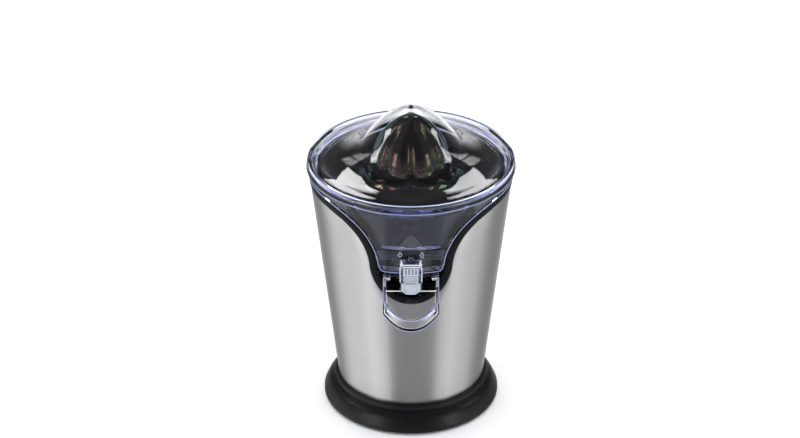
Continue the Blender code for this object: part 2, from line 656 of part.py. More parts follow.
def spout_outline(inset):
    """Plan of the tray from its left root round the pointed nose to its right root: (across, along)."""
    half = SPOUT_HALF_WIDTH - inset
    nose = SPOUT_NOSE - 1.15 * inset
    points = [(-half, 0.0), (-half, SPOUT_STRAIGHT - 4.0)]
    steps = 14
    for i in range(steps + 1):
        across = -1 + 2 * i / steps
        points.append((half * across, SPOUT_STRAIGHT + nose * (1 - abs(across) ** 1.9)))
    points += [(half, SPOUT_STRAIGHT - 4.0), (half, 0.0)]
    return points


def make_spout_tray():
    """Open tray hinged at its root: floor, two side walls and a pointed nose."""
    def local(along, up):
        front = SPOUT_PIVOT[0] + along * cos(SPOUT_TILT) + up * sin(SPOUT_TILT)
        return front, SPOUT_PIVOT[1] - along * sin(SPOUT_TILT) + up * cos(SPOUT_TILT)

    def bottom(along):
        root, nose = SPOUT_DEPTH
        return -root + (root - nose) * along / (SPOUT_STRAIGHT + SPOUT_NOSE)

    def loop(outline, height):
        points = []
        for across, along in outline:
            front, z = local(along, height(along))
            points.append((across, -front, z))
        return points

    def shell(outline, low, high):
        bm = bmesh.new()
        lower = [bm.verts.new(p) for p in loop(outline, low)]
        upper = [bm.verts.new(p) for p in loop(outline, high)]
        bm.faces.new(lower)
        bm.faces.new(upper)
        for i in range(len(outline)):
            j = (i + 1) % len(outline)
            bm.faces.new((lower[i], lower[j], upper[j], upper[i]))
        return bm

    outer = shell(spout_outline(0.0), bottom, lambda along: 3.0)
    inner_outline = spout_outline(SPOUT_WALL)
    inner_outline[0] = (inner_outline[0][0], -3.0)
    inner_outline[-1] = (inner_outline[-1][0], -3.0)
    inner = shell(inner_outline, lambda along: bottom(along) + SPOUT_FLOOR, lambda along: 5.0)
    ears = [prism(arc(*SPOUT_PIVOT, 3.6, 0, 330, 11), side_view, x, x + SPOUT_WALL)
            for x in (-SPOUT_HALF_WIDTH, SPOUT_HALF_WIDTH - SPOUT_WALL)]
    root_cut = prism([(74, 170), (74, 165.0), (83.5, 165.4), (83.5, 170)], side_view, -30, 30)
    obj = build("spout_tray", clear_plastic(), outer, ("DIFFERENCE", inner), ("DIFFERENCE", root_cut),
                ("UNION", joined(*ears)),
                ("DIFFERENCE", rod_along_x(1.7, -30, 30, *SPOUT_PIVOT)))
    set_axis(obj, 0, -SPOUT_PIVOT[0], SPOUT_PIVOT[1])
    for side, x0, x1 in (("left", -23.0, -17.6), ("right", 17.6, 23.0)):
        obj = link(f"spout_pin_{side}", rod_along_x(1.4, x0, x1, *SPOUT_PIVOT), bright_metal())
        set_axis(obj, 0, -SPOUT_PIVOT[0], SPOUT_PIVOT[1])


# ---------------------------------------------------------------- strainer, cone, lid

def make_strainer():
    profile = [(77.2, 218.7), (77.2, 220.9), (75.7, 221.5), (73.6, 219.6), (67.0, 213.2), (56.0, 209.6), (46.0, 208.0),
               (14.0, 207.9), (8.5, 207.9), (8.5, 205.7), (14.0, 205.7), (46.0, 205.9), (56.0, 207.4), (66.5, 210.6),
               (74.4, 217.4), (75.4, 218.7)]
    slots = []
    for i in range(16):
        slot = box(49.0, 66.0, -1.2, 1.2, 203, 216)
        bmesh.ops.rotate(slot, cent=(0, 0, 0), matrix=Matrix.Rotation(2 * pi * (i + 0.5) / 16, 3, "Z"),
                         verts=slot.verts)
        slots.append(slot)
    build("strainer", black_gloss(), turned(profile), ("DIFFERENCE", joined(*slots)))


CONE_PROFILE = [(6.0, 271.2), (13.0, 266.4), (19.6, 260.4), (25.4, 253.0), (29.8, 245.0), (33.0, 235.5),
                (34.8, 226.0), (35.8, 219.5), (38.6, 215.2), (45.0, 212.4)]


def lobe(angle, z):
    """Scale of the cone's radius: eight broad lobes parted by grooves, fading out at tip and skirt."""
    fade = min(1.0, max(0.0, (z - 214.0) / 10.0)) * min(1.0, max(0.0, (272.6 - z) / 14.0))
    across = abs(sin(4 * (angle + pi / 2)))
    return 1.0 - 0.13 * fade * (1.0 - across) ** 2


def make_cone():
    n = 40
    angles = [2 * pi * i / n for i in range(n)]

    def lobed(r, z):
        return [(r * lobe(a, z) * cos(a), r * lobe(a, z) * sin(a), z) for a in angles]

    def plain(r, z):
        return [(r * cos(a), r * sin(a), z) for a in angles]

    outer = [[(0, 0, 272.7)]] + [lobed(r, z) for r, z in CONE_PROFILE]
    under = [plain(45.0, 211.7), plain(36.0, 213.4), plain(29.4, 221.0), plain(26.4, 235.0), plain(19.0, 249.0),
             plain(8.0, 253.0), plain(7.5, 213.3)]
    socket = [[(*hex_point(4.4, a), z) for a in angles] for z in (213.3, 232.0)]
    link("juicing_cone", rings_to_solid(outer + under + socket + [[(0, 0, 232.0)]]), black_gloss())
    link("cone_washer", ring(5.2, 11.0, 211.5, 213.0), gear_nylon())


def make_lid():
    outer = [(0, 281.0), (2.2, 280.4), (2.6, 279.3), (10.0, 277.2), (18.0, 272.3), (26.5, 265.4), (38.0, 251.8),
             (45.0, 243.9), (52.0, 239.1), (62.0, 236.3), (74.0, 234.8), (81.0, 232.0), (84.1, 227.6)]
    inner = [(82.0, 227.6), (79.4, 230.6), (73.4, 232.8), (61.5, 234.3), (51.0, 237.3), (43.5, 242.4), (36.5, 250.5),
             (25.2, 263.7), (16.9, 270.5), (9.2, 275.1), (0, 277.4)]
    link("dust_lid", turned(outer + inner), clear_plastic())


# ---------------------------------------------------------------- assembly

def main():
    for obj in list(bpy.data.objects):
        bpy.data.objects.remove(obj)
    make_foot_ring()
    make_base_plate()
    make_feet_and_base_screws()
    make_steel_shell()
    make_rim_trim()
    make_inner_housing()
    make_cord_gland()
    make_terminal_block()
    make_gears()
    make_drive_shaft()
    make_return_spring()
    make_gearbox_plate()
    make_motor()
    make_switch()
    make_juice_bowl()
    make_outlet_housing()
    make_drip_stop()
    make_spout_tray()
    make_strainer()
    make_cone()
    make_lid()
    for obj in bpy.data.objects:
        obj.location.y += SPINDLE_Y * MM


main()
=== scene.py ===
"""Looks of the citrus press juicer: fine surfaces, finishes, floor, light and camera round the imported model.

Sizes are in millimetres and MM turns them into metres. Shapes are drawn about the spindle, which stands at
y = SPINDLE_Y. The spout points along -Y, and a "front" value is a distance from the spindle along -Y. Places
come from the boxes of the model's nodes.
"""
import json
from math import asin, cos, hypot, pi, radians, sin, sqrt, tan

import bmesh
import bpy
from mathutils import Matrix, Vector


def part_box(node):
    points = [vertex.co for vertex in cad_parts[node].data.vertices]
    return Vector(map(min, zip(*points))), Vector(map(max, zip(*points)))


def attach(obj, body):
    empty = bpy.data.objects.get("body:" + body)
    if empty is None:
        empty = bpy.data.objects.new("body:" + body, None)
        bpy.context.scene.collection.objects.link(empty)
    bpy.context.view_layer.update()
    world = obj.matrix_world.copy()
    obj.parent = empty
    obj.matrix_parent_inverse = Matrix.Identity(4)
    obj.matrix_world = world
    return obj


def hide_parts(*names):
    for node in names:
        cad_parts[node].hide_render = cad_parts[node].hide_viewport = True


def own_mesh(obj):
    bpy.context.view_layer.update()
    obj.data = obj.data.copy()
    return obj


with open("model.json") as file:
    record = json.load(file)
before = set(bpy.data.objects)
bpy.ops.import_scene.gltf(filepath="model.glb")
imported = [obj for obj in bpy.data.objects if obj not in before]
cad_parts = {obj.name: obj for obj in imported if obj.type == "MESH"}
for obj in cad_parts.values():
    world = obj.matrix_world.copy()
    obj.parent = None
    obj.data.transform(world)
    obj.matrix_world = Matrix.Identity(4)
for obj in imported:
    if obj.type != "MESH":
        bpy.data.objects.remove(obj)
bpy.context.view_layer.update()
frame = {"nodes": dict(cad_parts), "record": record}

MM = 0.001


def span(node):
    """Lowest and highest corner of a node's box, in millimetres."""
    low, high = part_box(node)
    return low / MM, high / MM


SPINDLE_Y = (span("drive_shaft")[0].y + span("drive_shaft")[1].y) / 2

# Tapered body, from the steel's box
STEEL_LOW, STEEL_HIGH = span("steel_shell")
BODY_SLOPE = 0.117  # radius gained per millimetre of height
RIM_Z = STEEL_HIGH.z
TRIM_WIDTH = span("rim_trim")[1].z - RIM_Z
GAP = 0.35  # between pieces that meet

# Front cut-out: lowest point, and the place where its S-shaped edge turns from hollow to full
CUT_BOTTOM_Z = span("rim_trim")[0].z - GAP
CUT_WAIST = (34.5, CUT_BOTTOM_Z + 36)
CUT_END_X = 80.0

# Clear bowl and the apron in front of it
BOWL_HIGH = span("juice_bowl")[1]
BOWL_WALL = 2.4
FLANGE_Z = 225.4  # outer edge of the flange
APRON_BOTTOM = 165.0
APRON_INSET = 7.4
APRON_HALF_WIDTH = 26.6
APRON_CORNER = 4.5

# Hinges of the spout and the drip stop: distance in front and height of their pins
SPOUT_PIVOT = (81.5, 162.0)
STOP_PIVOT = (88.0, 175.0)
SPOUT_TILT = radians(11)  # fall of the spout towards its nose
PIN_RADIUS = 1.4
PIN_BORE = 1.7

ROUND = 192  # segments round a turned piece
EDGE_STEPS = 34  # points on each half of the S-shaped edge
BACK_STEPS = 50  # points from the edge's end round to the middle of the back
TINY = 1e-6


# ---------------- outlines

def body_radius(z):
    return STEEL_HIGH.x - BODY_SLOPE * (RIM_Z - z)


def fillet(corners, steps=6, closed=True):
    """Outline with its corners rounded. A corner is (u, v) or (u, v, radius)."""
    out = []
    count = len(corners)
    for i, corner in enumerate(corners):
        here = Vector(corner[:2])
        radius = corner[2] if len(corner) > 2 else 0.0
        if radius == 0 or (not closed and i in (0, count - 1)):
            out.append(tuple(here))
            continue
        before = Vector(corners[i - 1][:2]) - here
        after = Vector(corners[(i + 1) % count][:2]) - here
        half = before.angle(after) / 2
        reach = min(radius / tan(half), 0.49 * before.length, 0.49 * after.length)
        radius = reach * tan(half)
        centre = here + (before.normalized() + after.normalized()).normalized() * radius / sin(half)
        start = here + before.normalized() * reach - centre
        turn = start.angle_signed(here + after.normalized() * reach - centre)
        for k in range(steps + 1):
            a = -turn * k / steps
            out.append((centre.x + start.x * cos(a) - start.y * sin(a),
                        centre.y + start.x * sin(a) + start.y * cos(a)))
    return out


def flowing(points, steps=8):
    """Smooth curve through points (Catmull-Rom)."""
    ends = [Vector(points[0]) * 2 - Vector(points[1])] + [Vector(p) for p in points]
    ends.append(Vector(points[-1]) * 2 - Vector(points[-2]))
    out = [tuple(points[0])]
    for a, b, c, d in zip(ends, ends[1:], ends[2:], ends[3:]):
        for k in range(1, steps + 1):
            t = k / steps
            bend = (2 * a - 5 * b + 4 * c - d) * t * t + (3 * b - a - 3 * c + d) * t**3
            p = 0.5 * (2 * b + (c - a) * t + bend)
            out.append(tuple(p))
    return out


def above(level, points):
    """Outline given as (radius, height above a level)."""
    return [(r, level + rise) for r, rise in points]


def below(level, points):
    """Outline given as (radius, depth below a level)."""
    return [(r, level - drop) for r, drop in points]


def arc(cx, cy, radius, start, end, steps):
    """Points on an arc, angles in degrees."""
    angles = (radians(start + (end - start) * i / steps) for i in range(steps + 1))
    return [(cx + radius * cos(a), cy + radius * sin(a)) for a in angles]


def bezier(p0, p1, p2, p3, steps):
    """Points and unit normals of a cubic curve, without its first point."""
    out = []
    for i in range(1, steps + 1):
        t = i / steps
        s = 1 - t
        weights = (s**3, 3 * s * s * t, 3 * s * t * t, t**3)
        slopes = (-3 * s * s, 3 * s * s - 6 * s * t, 6 * s * t - 3 * t * t, 3 * t * t)
        x, z = (sum(w * p[k] for w, p in zip(weights, (p0, p1, p2, p3))) for k in (0, 1))
        dx, dz = (sum(w * p[k] for w, p in zip(slopes, (p0, p1, p2, p3))) for k in (0, 1))
        length = hypot(dx, dz)
        out.append((x, z, -dz / length, dx / length))
    return out


def cut_edge(inset):
    """Right half of the cut-out's S-shaped edge, from its lowest point out to the rim, moved up and in."""
    waist_x, waist_z = CUT_WAIST
    lower = bezier((0, CUT_BOTTOM_Z), (20, CUT_BOTTOM_Z), (33, waist_z - 18), CUT_WAIST, EDGE_STEPS)
    upper = bezier(CUT_WAIST, (waist_x + 2, waist_z + 25), (53, RIM_Z), (CUT_END_X, RIM_Z), EDGE_STEPS)
    points = [(0, CUT_BOTTOM_Z, 0, 1)] + lower + upper
    return [(x + nx * inset, z + nz * inset) for x, z, nx, nz in points]


def apron_edge(inset):
    """Right half of the apron's edge: flat at the bottom, a round corner, then along the S-shaped edge."""
    half = APRON_HALF_WIDTH - inset
    corner = APRON_CORNER - inset
    flat = [((half - corner) * i / 8, APRON_BOTTOM + inset) for i in range(8)]
    turn = arc(half - corner, APRON_BOTTOM + APRON_CORNER, corner, 270, 360, 8)
    return flat + turn + cut_edge(APRON_INSET + inset)[EDGE_STEPS + 1:]


def mirrored(right):
    """Whole outline from its right half, which runs from the middle outwards."""
    return [(-x, z) for x, z in reversed(right)] + right


def pocket_outline(inset, bottom, corner, top):
    """Whole outline of the bowl's front pocket: flat bottom, S-shaped sides, level top."""
    half = APRON_HALF_WIDTH - inset
    side = [p for p in cut_edge(APRON_INSET + inset) if p[1] > bottom + corner + 1.2]
    return mirrored(arc(half - corner, bottom + corner, corner, 270, 360, 6) + side + [(side[-1][0], top)])


def panel_outline(inset, top, reach=110.0):
    """Outline of everything above the S-shaped edge."""
    right = cut_edge(inset)
    level = right[-1][1]
    sides = [(reach, level), (reach, top)]
    return [(-x, z) for x, z in reversed(right[1:] + sides)] + right + sides


def half_way(edge):
    """(angle, z) along a front edge given as (x, z), then level round to the middle of the back."""
    half = [(asin(x / body_radius(z)), z) for x, z in edge]
    start, level = half[-1]
    return half + [(start + (pi - start) * i / BACK_STEPS, level) for i in range(1, BACK_STEPS + 1)]


def lifted(half, z, share):
    """The same line moved towards height z by a share of the way."""
    return [(a, level + (z - level) * share) for a, level in half]


def ring_on_body(half, depth):
    """Closed ring of points lying depth below the steel's surface, mirrored from its right half."""
    whole = half + [(-a, z) for a, z in reversed(half[1:-1])]
    return [((body_radius(z) - depth) * sin(a), -(body_radius(z) - depth) * cos(a), z) for a, z in whole]


# ---------------- mesh helpers

def front_view(x, z, front):
    return (x, -front, z)


def side_view(front, z, x):
    return (x, -front, z)


def circle(count):
    """Angles of even steps round a circle."""
    return [2 * pi * i / count for i in range(count)]


def ring(radius, z, angles, centre=(0.0, 0.0)):
    """Level ring of points. The radius is one number, or a list with one for each angle."""
    radii = radius if isinstance(radius, list) else [radius] * len(angles)
    return [(centre[0] + r * cos(a), centre[1] + r * sin(a), z) for r, a in zip(radii, angles)]


def hexagon(corner, angle):
    """Distance from a hexagon's centre to its side; its corners are at a radius of corner."""
    return corner * cos(pi / 6) / cos(angle % (pi / 3) - pi / 6)


def skin(rings, closed=True):
    """Skin rings of points. A ring of one point closes to a tip; closed joins the last ring to the first."""
    bm = bmesh.new()
    made = [[bm.verts.new(p) for p in ring] for ring in rings]
    pairs = list(zip(made, made[1:]))
    if closed and len(rings[0]) > 1 and len(rings[-1]) > 1:
        pairs.append((made[-1], made[0]))
    for lower, upper in pairs:
        count = max(len(lower), len(upper))
        for i in range(count):
            j = (i + 1) % count
            if len(lower) == 1:
                bm.faces.new((lower[0], upper[i], upper[j]))
            elif len(upper) == 1:
                bm.faces.new((lower[i], lower[j], upper[0]))
            else:
                bm.faces.new((lower[i], lower[j], upper[j], upper[i]))
    return bm


def turned(profile, centre=(0.0, 0.0), segments=ROUND):
    """Turn an outline of (radius, z) about a vertical axis."""
    angles = circle(segments)
    return skin([ring(r, z, angles, centre) if r > TINY else [(*centre, z)] for r, z in profile])


def prism(outline, place, low, high, bevel=0.0, segments=2):
    """Extrude a flat outline and round its end edges. place(u, v, w) is the point of u, v at depth w."""
    bm = bmesh.new()
    near = [bm.verts.new(place(u, v, low)) for u, v in outline]
    far = [bm.verts.new(place(u, v, high)) for u, v in outline]
    ends = [bm.faces.new(near), bm.faces.new(far)]
    count = len(outline)
    for i in range(count):
        j = (i + 1) % count
        bm.faces.new((near[i], near[j], far[j], far[i]))
    bmesh.ops.recalc_face_normals(bm, faces=bm.faces)
    if bevel:
        edges = [e for f in ends for e in f.edges]
        bmesh.ops.bevel(bm, geom=edges, offset=bevel, segments=segments, affect="EDGES", profile=0.5)
    return bm


def block(x0, x1, front0, front1, z0, z1, bevel=0.3):
    """Box with every edge rounded."""
    outline = fillet([(x0, z0, bevel), (x1, z0, bevel), (x1, z1, bevel), (x0, z1, bevel)], 3)
    return prism(outline, front_view, front0, front1, bevel * 0.9)


def rod(radius, x0, x1, front, z, chamfer=0.25, sides=32):
    """Pin along X with chamfered ends."""
    return prism(arc(front, z, radius, 0, 360 - 360 / sides, sides - 1), side_view, x0, x1, chamfer, 2)


def pin_bore(pivot, half):
    """Hole for a hinge pin, reaching half to each side."""
    return prism(arc(*pivot, PIN_BORE, 0, 345, 23), side_view, -half, half)


def tube(path, radius, closed=False, sides=8):
    """Round line along points in space, with pointed ends unless it is closed."""
    rings = []
    last = len(path) - 1
    for i, point in enumerate(path):
        before = path[i - 1] if i or closed else path[0]
        after = path[(i + 1) % len(path)] if i < last or closed else path[last]
        along = (Vector(after) - Vector(before)).normalized()
        out = Vector((point[0], point[1], 0.3 * point[1]))
        out = (out - along * out.dot(along)).normalized()
        side = along.cross(out)
        turns = (2 * pi * k / sides for k in range(sides))
        rings.append([tuple(Vector(point) + (out * cos(a) + side * sin(a)) * radius) for a in turns])
    return skin(rings) if closed else skin([[path[0]]] + rings + [[path[last]]])


def strand(points, front, radius):
    """Round line through flat points (x, z) at a distance in front."""
    return tube([(x, -front, z) for x, z in points], radius)


def mesh_from(bm, name):
    """Mesh with the shape of bm, which is freed."""
    mesh = bpy.data.meshes.new(name)
    bm.to_mesh(mesh)
    bm.free()
    return mesh


def in_scene(name, data):
    """New object in the scene."""
    obj = bpy.data.objects.new(name, data)
    bpy.context.scene.collection.objects.link(obj)
    return obj


def joined(*shapes):
    """Separate closed shapes in one mesh."""
    result = shapes[0]
    for shape in shapes[1:]:
        mesh = mesh_from(shape, "joined")
        result.from_mesh(mesh)
        bpy.data.meshes.remove(mesh)
    return result


def scratch(bm):
    """Temporary object from a mesh in millimetres."""
    bmesh.ops.recalc_face_normals(bm, faces=bm.faces)
    return in_scene("scratch", mesh_from(bm, "scratch"))


def combined(base, inside=(), add=(), cut=()):
    """Base kept inside some shapes, then joined with others, then cut by others, in millimetres."""
    obj = scratch(base)
    steps = [("INTERSECT", shape) for shape in inside] + [("UNION", shape) for shape in add]
    steps += [("DIFFERENCE", shape) for shape in cut]
    for operation, shape in steps:
        tool = scratch(shape)
        modifier = obj.modifiers.new("cut", "BOOLEAN")
        modifier.operation = operation
        modifier.solver = "EXACT"
        modifier.object = tool
        bpy.context.view_layer.update()
        mesh = bpy.data.meshes.new_from_object(obj.evaluated_get(bpy.context.evaluated_depsgraph_get()))
        obj.modifiers.clear()
        obj.data = mesh
        bpy.data.objects.remove(tool)
    bm = bmesh.new()
    bm.from_mesh(obj.data)
    bmesh.ops.remove_doubles(bm, verts=bm.verts, dist=0.004)
    bmesh.ops.dissolve_degenerate(bm, edges=bm.edges, dist=0.002)
    bpy.data.objects.remove(obj)
    return bm


def piece(name, bm, mat, body, slot, *nodes, sharp=35):
    """Finished object: metres, outward faces, smooth shading, riding on its body in place of its nodes."""
    bmesh.ops.recalc_face_normals(bm, faces=bm.faces)
    bmesh.ops.translate(bm, vec=(0, SPINDLE_Y, 0), verts=bm.verts)
    bmesh.ops.scale(bm, vec=(MM, MM, MM), verts=bm.verts)
    mesh = mesh_from(bm, name)
    mesh.materials.append(mat)
    mesh.shade_smooth()
    mesh.set_sharp_from_angle(angle=radians(sharp))
    obj = in_scene(name, mesh)
    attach(obj, body)
    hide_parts(*nodes)
    return obj


# ---------------- foot and body

def make_foot(satin):
    """Flared foot with a raised collar round the sleeve and a hole for the cord."""
    rim = span("foot_ring")[1].x
    outline = fillet([(rim - 3.3, 2.0, 0.5), (rim - 0.5, 2.0, 0.5), (rim, 3.2, 0.8), (rim - 0.1, 6.4, 0.5)],
                     5, False)
    outline += flowing([(rim - 0.6, 7.2), (rim - 2.2, 11.0), (rim - 4.9, 15.4), (rim - 8.9, 18.1)], 6)
    outline += fillet([(rim - 8.9, 18.1), (rim - 10.2, 18.8, 0.4), (rim - 10.2, 19.7, 0.4),
                       (rim - 9.0, 20.3, 0.5), (rim - 9.0, 23.5, 1.2), (rim - 10.3, 24.9, 0.7),
                       (rim - 12.0, 24.9, 0.2), (rim - 12.2, 18.0)], 5, False)[1:]
    outline += [(58.0, 18.0), (58.0, 15.4), (rim - 11.3, 15.4), (rim - 5.7, 11.2), (rim - 3.3, 6.0)]
    inlet = prism(arc(0, 10.0, 5.0, 0, 348, 29), front_view, -80, -60)
    piece("foot_shell", combined(turned(outline), cut=[inlet]), satin, "base", "black_satin", "foot_ring")


def make_base_cover(satin):
    """Round cover under the foot with seven rows of vents."""
    edge = span("foot_ring")[1].x - 3.7
    plate = fillet([(0, 2.4), (edge, 2.4, 0.4), (edge, 5.0, 0.4), (0, 5.0)], 4)
    pitch, half_vent = 8, 1.4
    vents = []
    for row in range(-3, 4):
        half = 20 - 2 * abs(row)
        vents.append(block(-half, half, pitch * row - half_vent, pitch * row + half_vent, 1, 6, 1.2))
    bm = combined(turned(plate), cut=[joined(*vents)])
    piece("base_cover", bm, satin, "base", "black_satin", "base_plate")


def make_pads(rubber):
    for number in range(1, 5):
        name = f"rubber_foot_{number}"
        x, y, low_z, top_z = middle(name)
        shape = fillet([(0, low_z), (6.1, low_z, 0.9), (6.8, 1.2, 0.6), (6.7, 2.1, 0.3), (1.8, 2.1),
                        (1.8, top_z), (0, top_z)], 4)
        piece(f"foot_pad_{number}", turned(shape, (x, y), 40), rubber, "base", "black_rubber", name)


def make_cover_screws(metal):
    """Screws of the base cover, with crossed slots in their heads."""
    arm, half_slot, slot_depth = 1.6, 0.35, 0.9
    for number in range(1, 5):
        name = f"base_screw_{number}"
        x, y, low_z, top_z = middle(name)
        shape = fillet([(0, low_z), (2.7, low_z, 0.8), (3.3, 2.1, 0.2), (1.6, 2.1), (1.6, top_z), (0, top_z)],
                       4)
        slots = [block(x - w, x + w, -y - d, -y + d, low_z - 1, low_z + slot_depth, 0.1)
                 for w, d in ((arm, half_slot), (half_slot, arm))]
        piece(f"cover_screw_{number}", combined(turned(shape, (x, y), 24), cut=slots), metal, "base",
              "bright_metal", name)


def middle(node):
    """Centre x and y from the spindle, then lowest and highest z, of a node's box."""
    low, high = span(node)
    return (low.x + high.x) / 2, (low.y + high.y) / 2 - SPINDLE_Y, low.z, high.z


def make_sleeve(steel):
    """Brushed sheet sleeve: outer face, rounded sheared edge, inner face, and a seam down the back."""
    sheet, ease = 1.0, 0.25
    low = STEEL_LOW.z
    edge = half_way(cut_edge(-ease))
    rows = [ring_on_body(lifted(edge, low, 1 - k / 10), 0) for k in range(11)]
    for a in (30, 60, 90):
        inset = -ease * (1 - sin(radians(a)))
        rows.append(ring_on_body(half_way(cut_edge(inset)), ease * (1 - cos(radians(a)))))
    rows.append(ring_on_body(half_way(cut_edge(0)), sheet))
    rows.append(ring_on_body(lifted(edge, low, 1), sheet))
    seam = block(-0.12, 0.12, -90, -body_radius(110) + 0.35, low - 2, RIM_Z + 2, 0.05)
    piece("steel_sleeve", combined(skin(rows), cut=[seam]), steel, "base", "brushed_steel", "steel_shell")


def make_trim(satin):
    """Moulded band along the S-shaped edge and round the rim, with a soft crown."""
    section = fillet([(GAP, 1.8), (GAP, -0.35, 0.45), (TRIM_WIDTH / 2, -0.62, 9),
                      (TRIM_WIDTH - 0.1, -0.35, 0.9), (TRIM_WIDTH - 0.1, 1.8)], 5)
    # the band gets the satin plastic darkened as painted shade
    piece("rim_band", skin([ring_on_body(half_way(cut_edge(s)), d) for s, d in section]), satin, "base",
          "black_satin", "rim_trim", sharp=50)


def make_inner_barrel(satin):
    """Barrel under the sleeve with the deck, the drive tower, the recessed front and the gearbox posts."""
    low, high = span("inner_housing")
    depth, wall = 2.2, 2.2
    deck_low, deck = 176.0, 178.4
    tower, bore, tower_top = 8.2, 6.4, 200.0
    panel_front = 64.5
    post_radius, post_circle, post_low = 4, 50, 146.3
    profile = [(body_radius(low.z) - depth, low.z), (body_radius(high.z) - depth, high.z, 0.5),
               (body_radius(high.z) - depth - wall, high.z, 0.5),
               (body_radius(deck) - depth - wall, deck, 1.5),
               (tower, deck, 1.5), (tower, tower_top, 0.6), (bore, tower_top, 0.3), (bore, deck_low),
               (body_radius(deck_low) - depth - wall, deck_low), (body_radius(low.z) - depth - wall, low.z)]
    liner = combined(prism(panel_outline(TRIM_WIDTH - 2.0, deck - 0.4), front_view, panel_front - 2.5, 100),
                     inside=[taper(depth + 0.5, 120, deck + 1)])
    over = mirrored([(x, z) for x, z in cut_edge(TRIM_WIDTH) if z > deck + 3])
    over = [(-110, 260)] + over + [(110, 260)]
    post = [(0, post_low), (post_radius, post_low), (post_radius, deck_low + 1), (0, deck_low + 1)]
    posts = [turned(post, (post_circle * cos(radians(a)), post_circle * sin(radians(a))), 24)
             for a in (90, 210, 330)]
    bm = combined(turned(fillet(profile, 4)), add=[liner, joined(*posts)],
                  cut=[prism(panel_outline(TRIM_WIDTH, 260), front_view, panel_front, 110),
                       prism(over, front_view, 20, 110)])
    # the barrel gets the satin plastic darkened as painted shade
    piece("inner_barrel", bm, satin, "base", "black_satin", "inner_housing")


def taper(depth, z0, z1):
    return turned([(0, z0), (body_radius(z0) - depth, z0), (body_radius(z1) - depth, z1), (0, z1)])


def make_cord_inlet(rubber):
    """Rubber grommet in the back of the foot, with a lip and a rounded mouth."""
    low_z, top_z = middle("cord_gland")[2:]
    height = (low_z + top_z) / 2
    outline = fillet([(3.0, 66.0), (3.0, 78.5, 0.6), (5.6, 78.5, 0.8), (5.6, 76.6, 0.5), (4.6, 76.2),
                      (4.6, 66.0)], 4)
    rings = [[(r * cos(a), back, height + r * sin(a)) for a in circle(48)] for r, back in outline]
    piece("cord_inlet", skin(rings), rubber, "base", "black_rubber", "cord_gland")


def make_shaft(metal):
    """Polished drive shaft with its hexagonal driving end, whose corners are blunt."""
    low, high = span("drive_shaft")
    radius, corner, hexagon_from = 4.0, 3.9, 206.0
    chamfer, blunt = 0.7, 0.97
    angles = circle(72)

    def driving(across):
        return [min(hexagon(across, a), across * blunt) for a in angles]

    stations = [(radius - 0.8, low.z), (radius, low.z + 0.8), (radius, hexagon_from),
                (driving(corner), hexagon_from + 0.6), (driving(corner), high.z - chamfer),
                (driving(corner - chamfer), high.z)]
    rings = [[(0, 0, low.z)]] + [ring(r, z, angles) for r, z in stations] + [[(0, 0, high.z)]]
    piece("hexagon_shaft", skin(rings), metal, "shaft", "bright_metal", "drive_shaft", sharp=25)


def make_return_spring(metal):
    """Coil spring under the shaft's clip."""
    low, high = span("return_spring")
    wire, turns, steps, press = 0.6, 4, 24, 3.0
    radius = high.x - wire
    rise = (high.z - low.z - 2 * wire) / (turns * steps)
    path = [(radius * cos(2 * pi * i / steps), radius * sin(2 * pi * i / steps), low.z + wire + rise * i)
            for i in range(turns * steps + 1)]
    spring = piece("coil_spring", tube(path, wire), metal, "shaft", "bright_metal", "return_spring", sharp=60)
    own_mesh(spring)


# ---------------- clear bowl and its fittings

def make_bowl(clear):
    """Round bowl, front pocket behind an S-sided apron, and the rim's flange."""
    top = BOWL_HIGH.z
    lip = BOWL_HIGH.x
    bottom = 185.6
    outside = fillet([(0, bottom), (9.0, bottom), (70.8, bottom - 3, 3), (73.6, bottom - 1, 3),
                      (75.8, 188.5, 3), (79.8, 216, 4), (80.6, 218.8, 2), (82.6, 221, 2), (87.0, 224.6, 1.2),
                      (lip, 225.0, 0.8), (lip, 226.4, 2), (lip - 0.9, 230.6, 2), (lip - 1.9, top, 0.8),
                      (0, top)], 5)
    inside = fillet([(0, 205), (11.4, 205, 1.0), (11.4, 189.5, 1.5), (14, 188, 1.5), (70.2, 185, 3),
                     (72.6, 186.8, 3), (73.5, 189.5, 3), (75.6, 215.5, 3), (76.0, 217.6), (77.6, 218.2, 1),
                     (78.6, 222.5, 2), (80.9, 226.4, 1.5), (84.5, 227.2, 0.6), (84.5, top + 5),
                     (0, top + 5)], 5)
    step = 0.25                  # the pocket's walls lie this much inside the apron's edges
    depth = 0.1                  # of the apron below the line of the steel
    pocket_back = 65.5
    pocket = combined(prism(pocket_outline(step, 170.0, 3.0, 224.5), front_view, pocket_back, 100),
                      inside=[taper(depth + step, 160, 240)])
    hollow = prism(pocket_outline(BOWL_WALL, 172.4, 2.0, 221.0), front_view, pocket_back + BOWL_WALL, 100)
    hollow = combined(hollow, inside=[taper(depth + BOWL_WALL, 160, 240)])
    spindle_hole = turned([(0, 180), (9, 180), (9, 210), (0, 210)])
    drain = block(-6.6, 6.6, 70.6, 75.8, 168, 174, 0.8)
    room_for_duct = block(-9.7, 9.7, 74.5, 84, 163, 169.9, 0.4)
    bm = combined(turned(outside), add=[pocket, apron_skirt(depth)],
                  cut=[turned(inside), hollow, spindle_hole, drain, room_for_duct])
    piece("clear_bowl", bm, clear, "bowl", "clear_plastic", "juice_bowl", sharp=30)


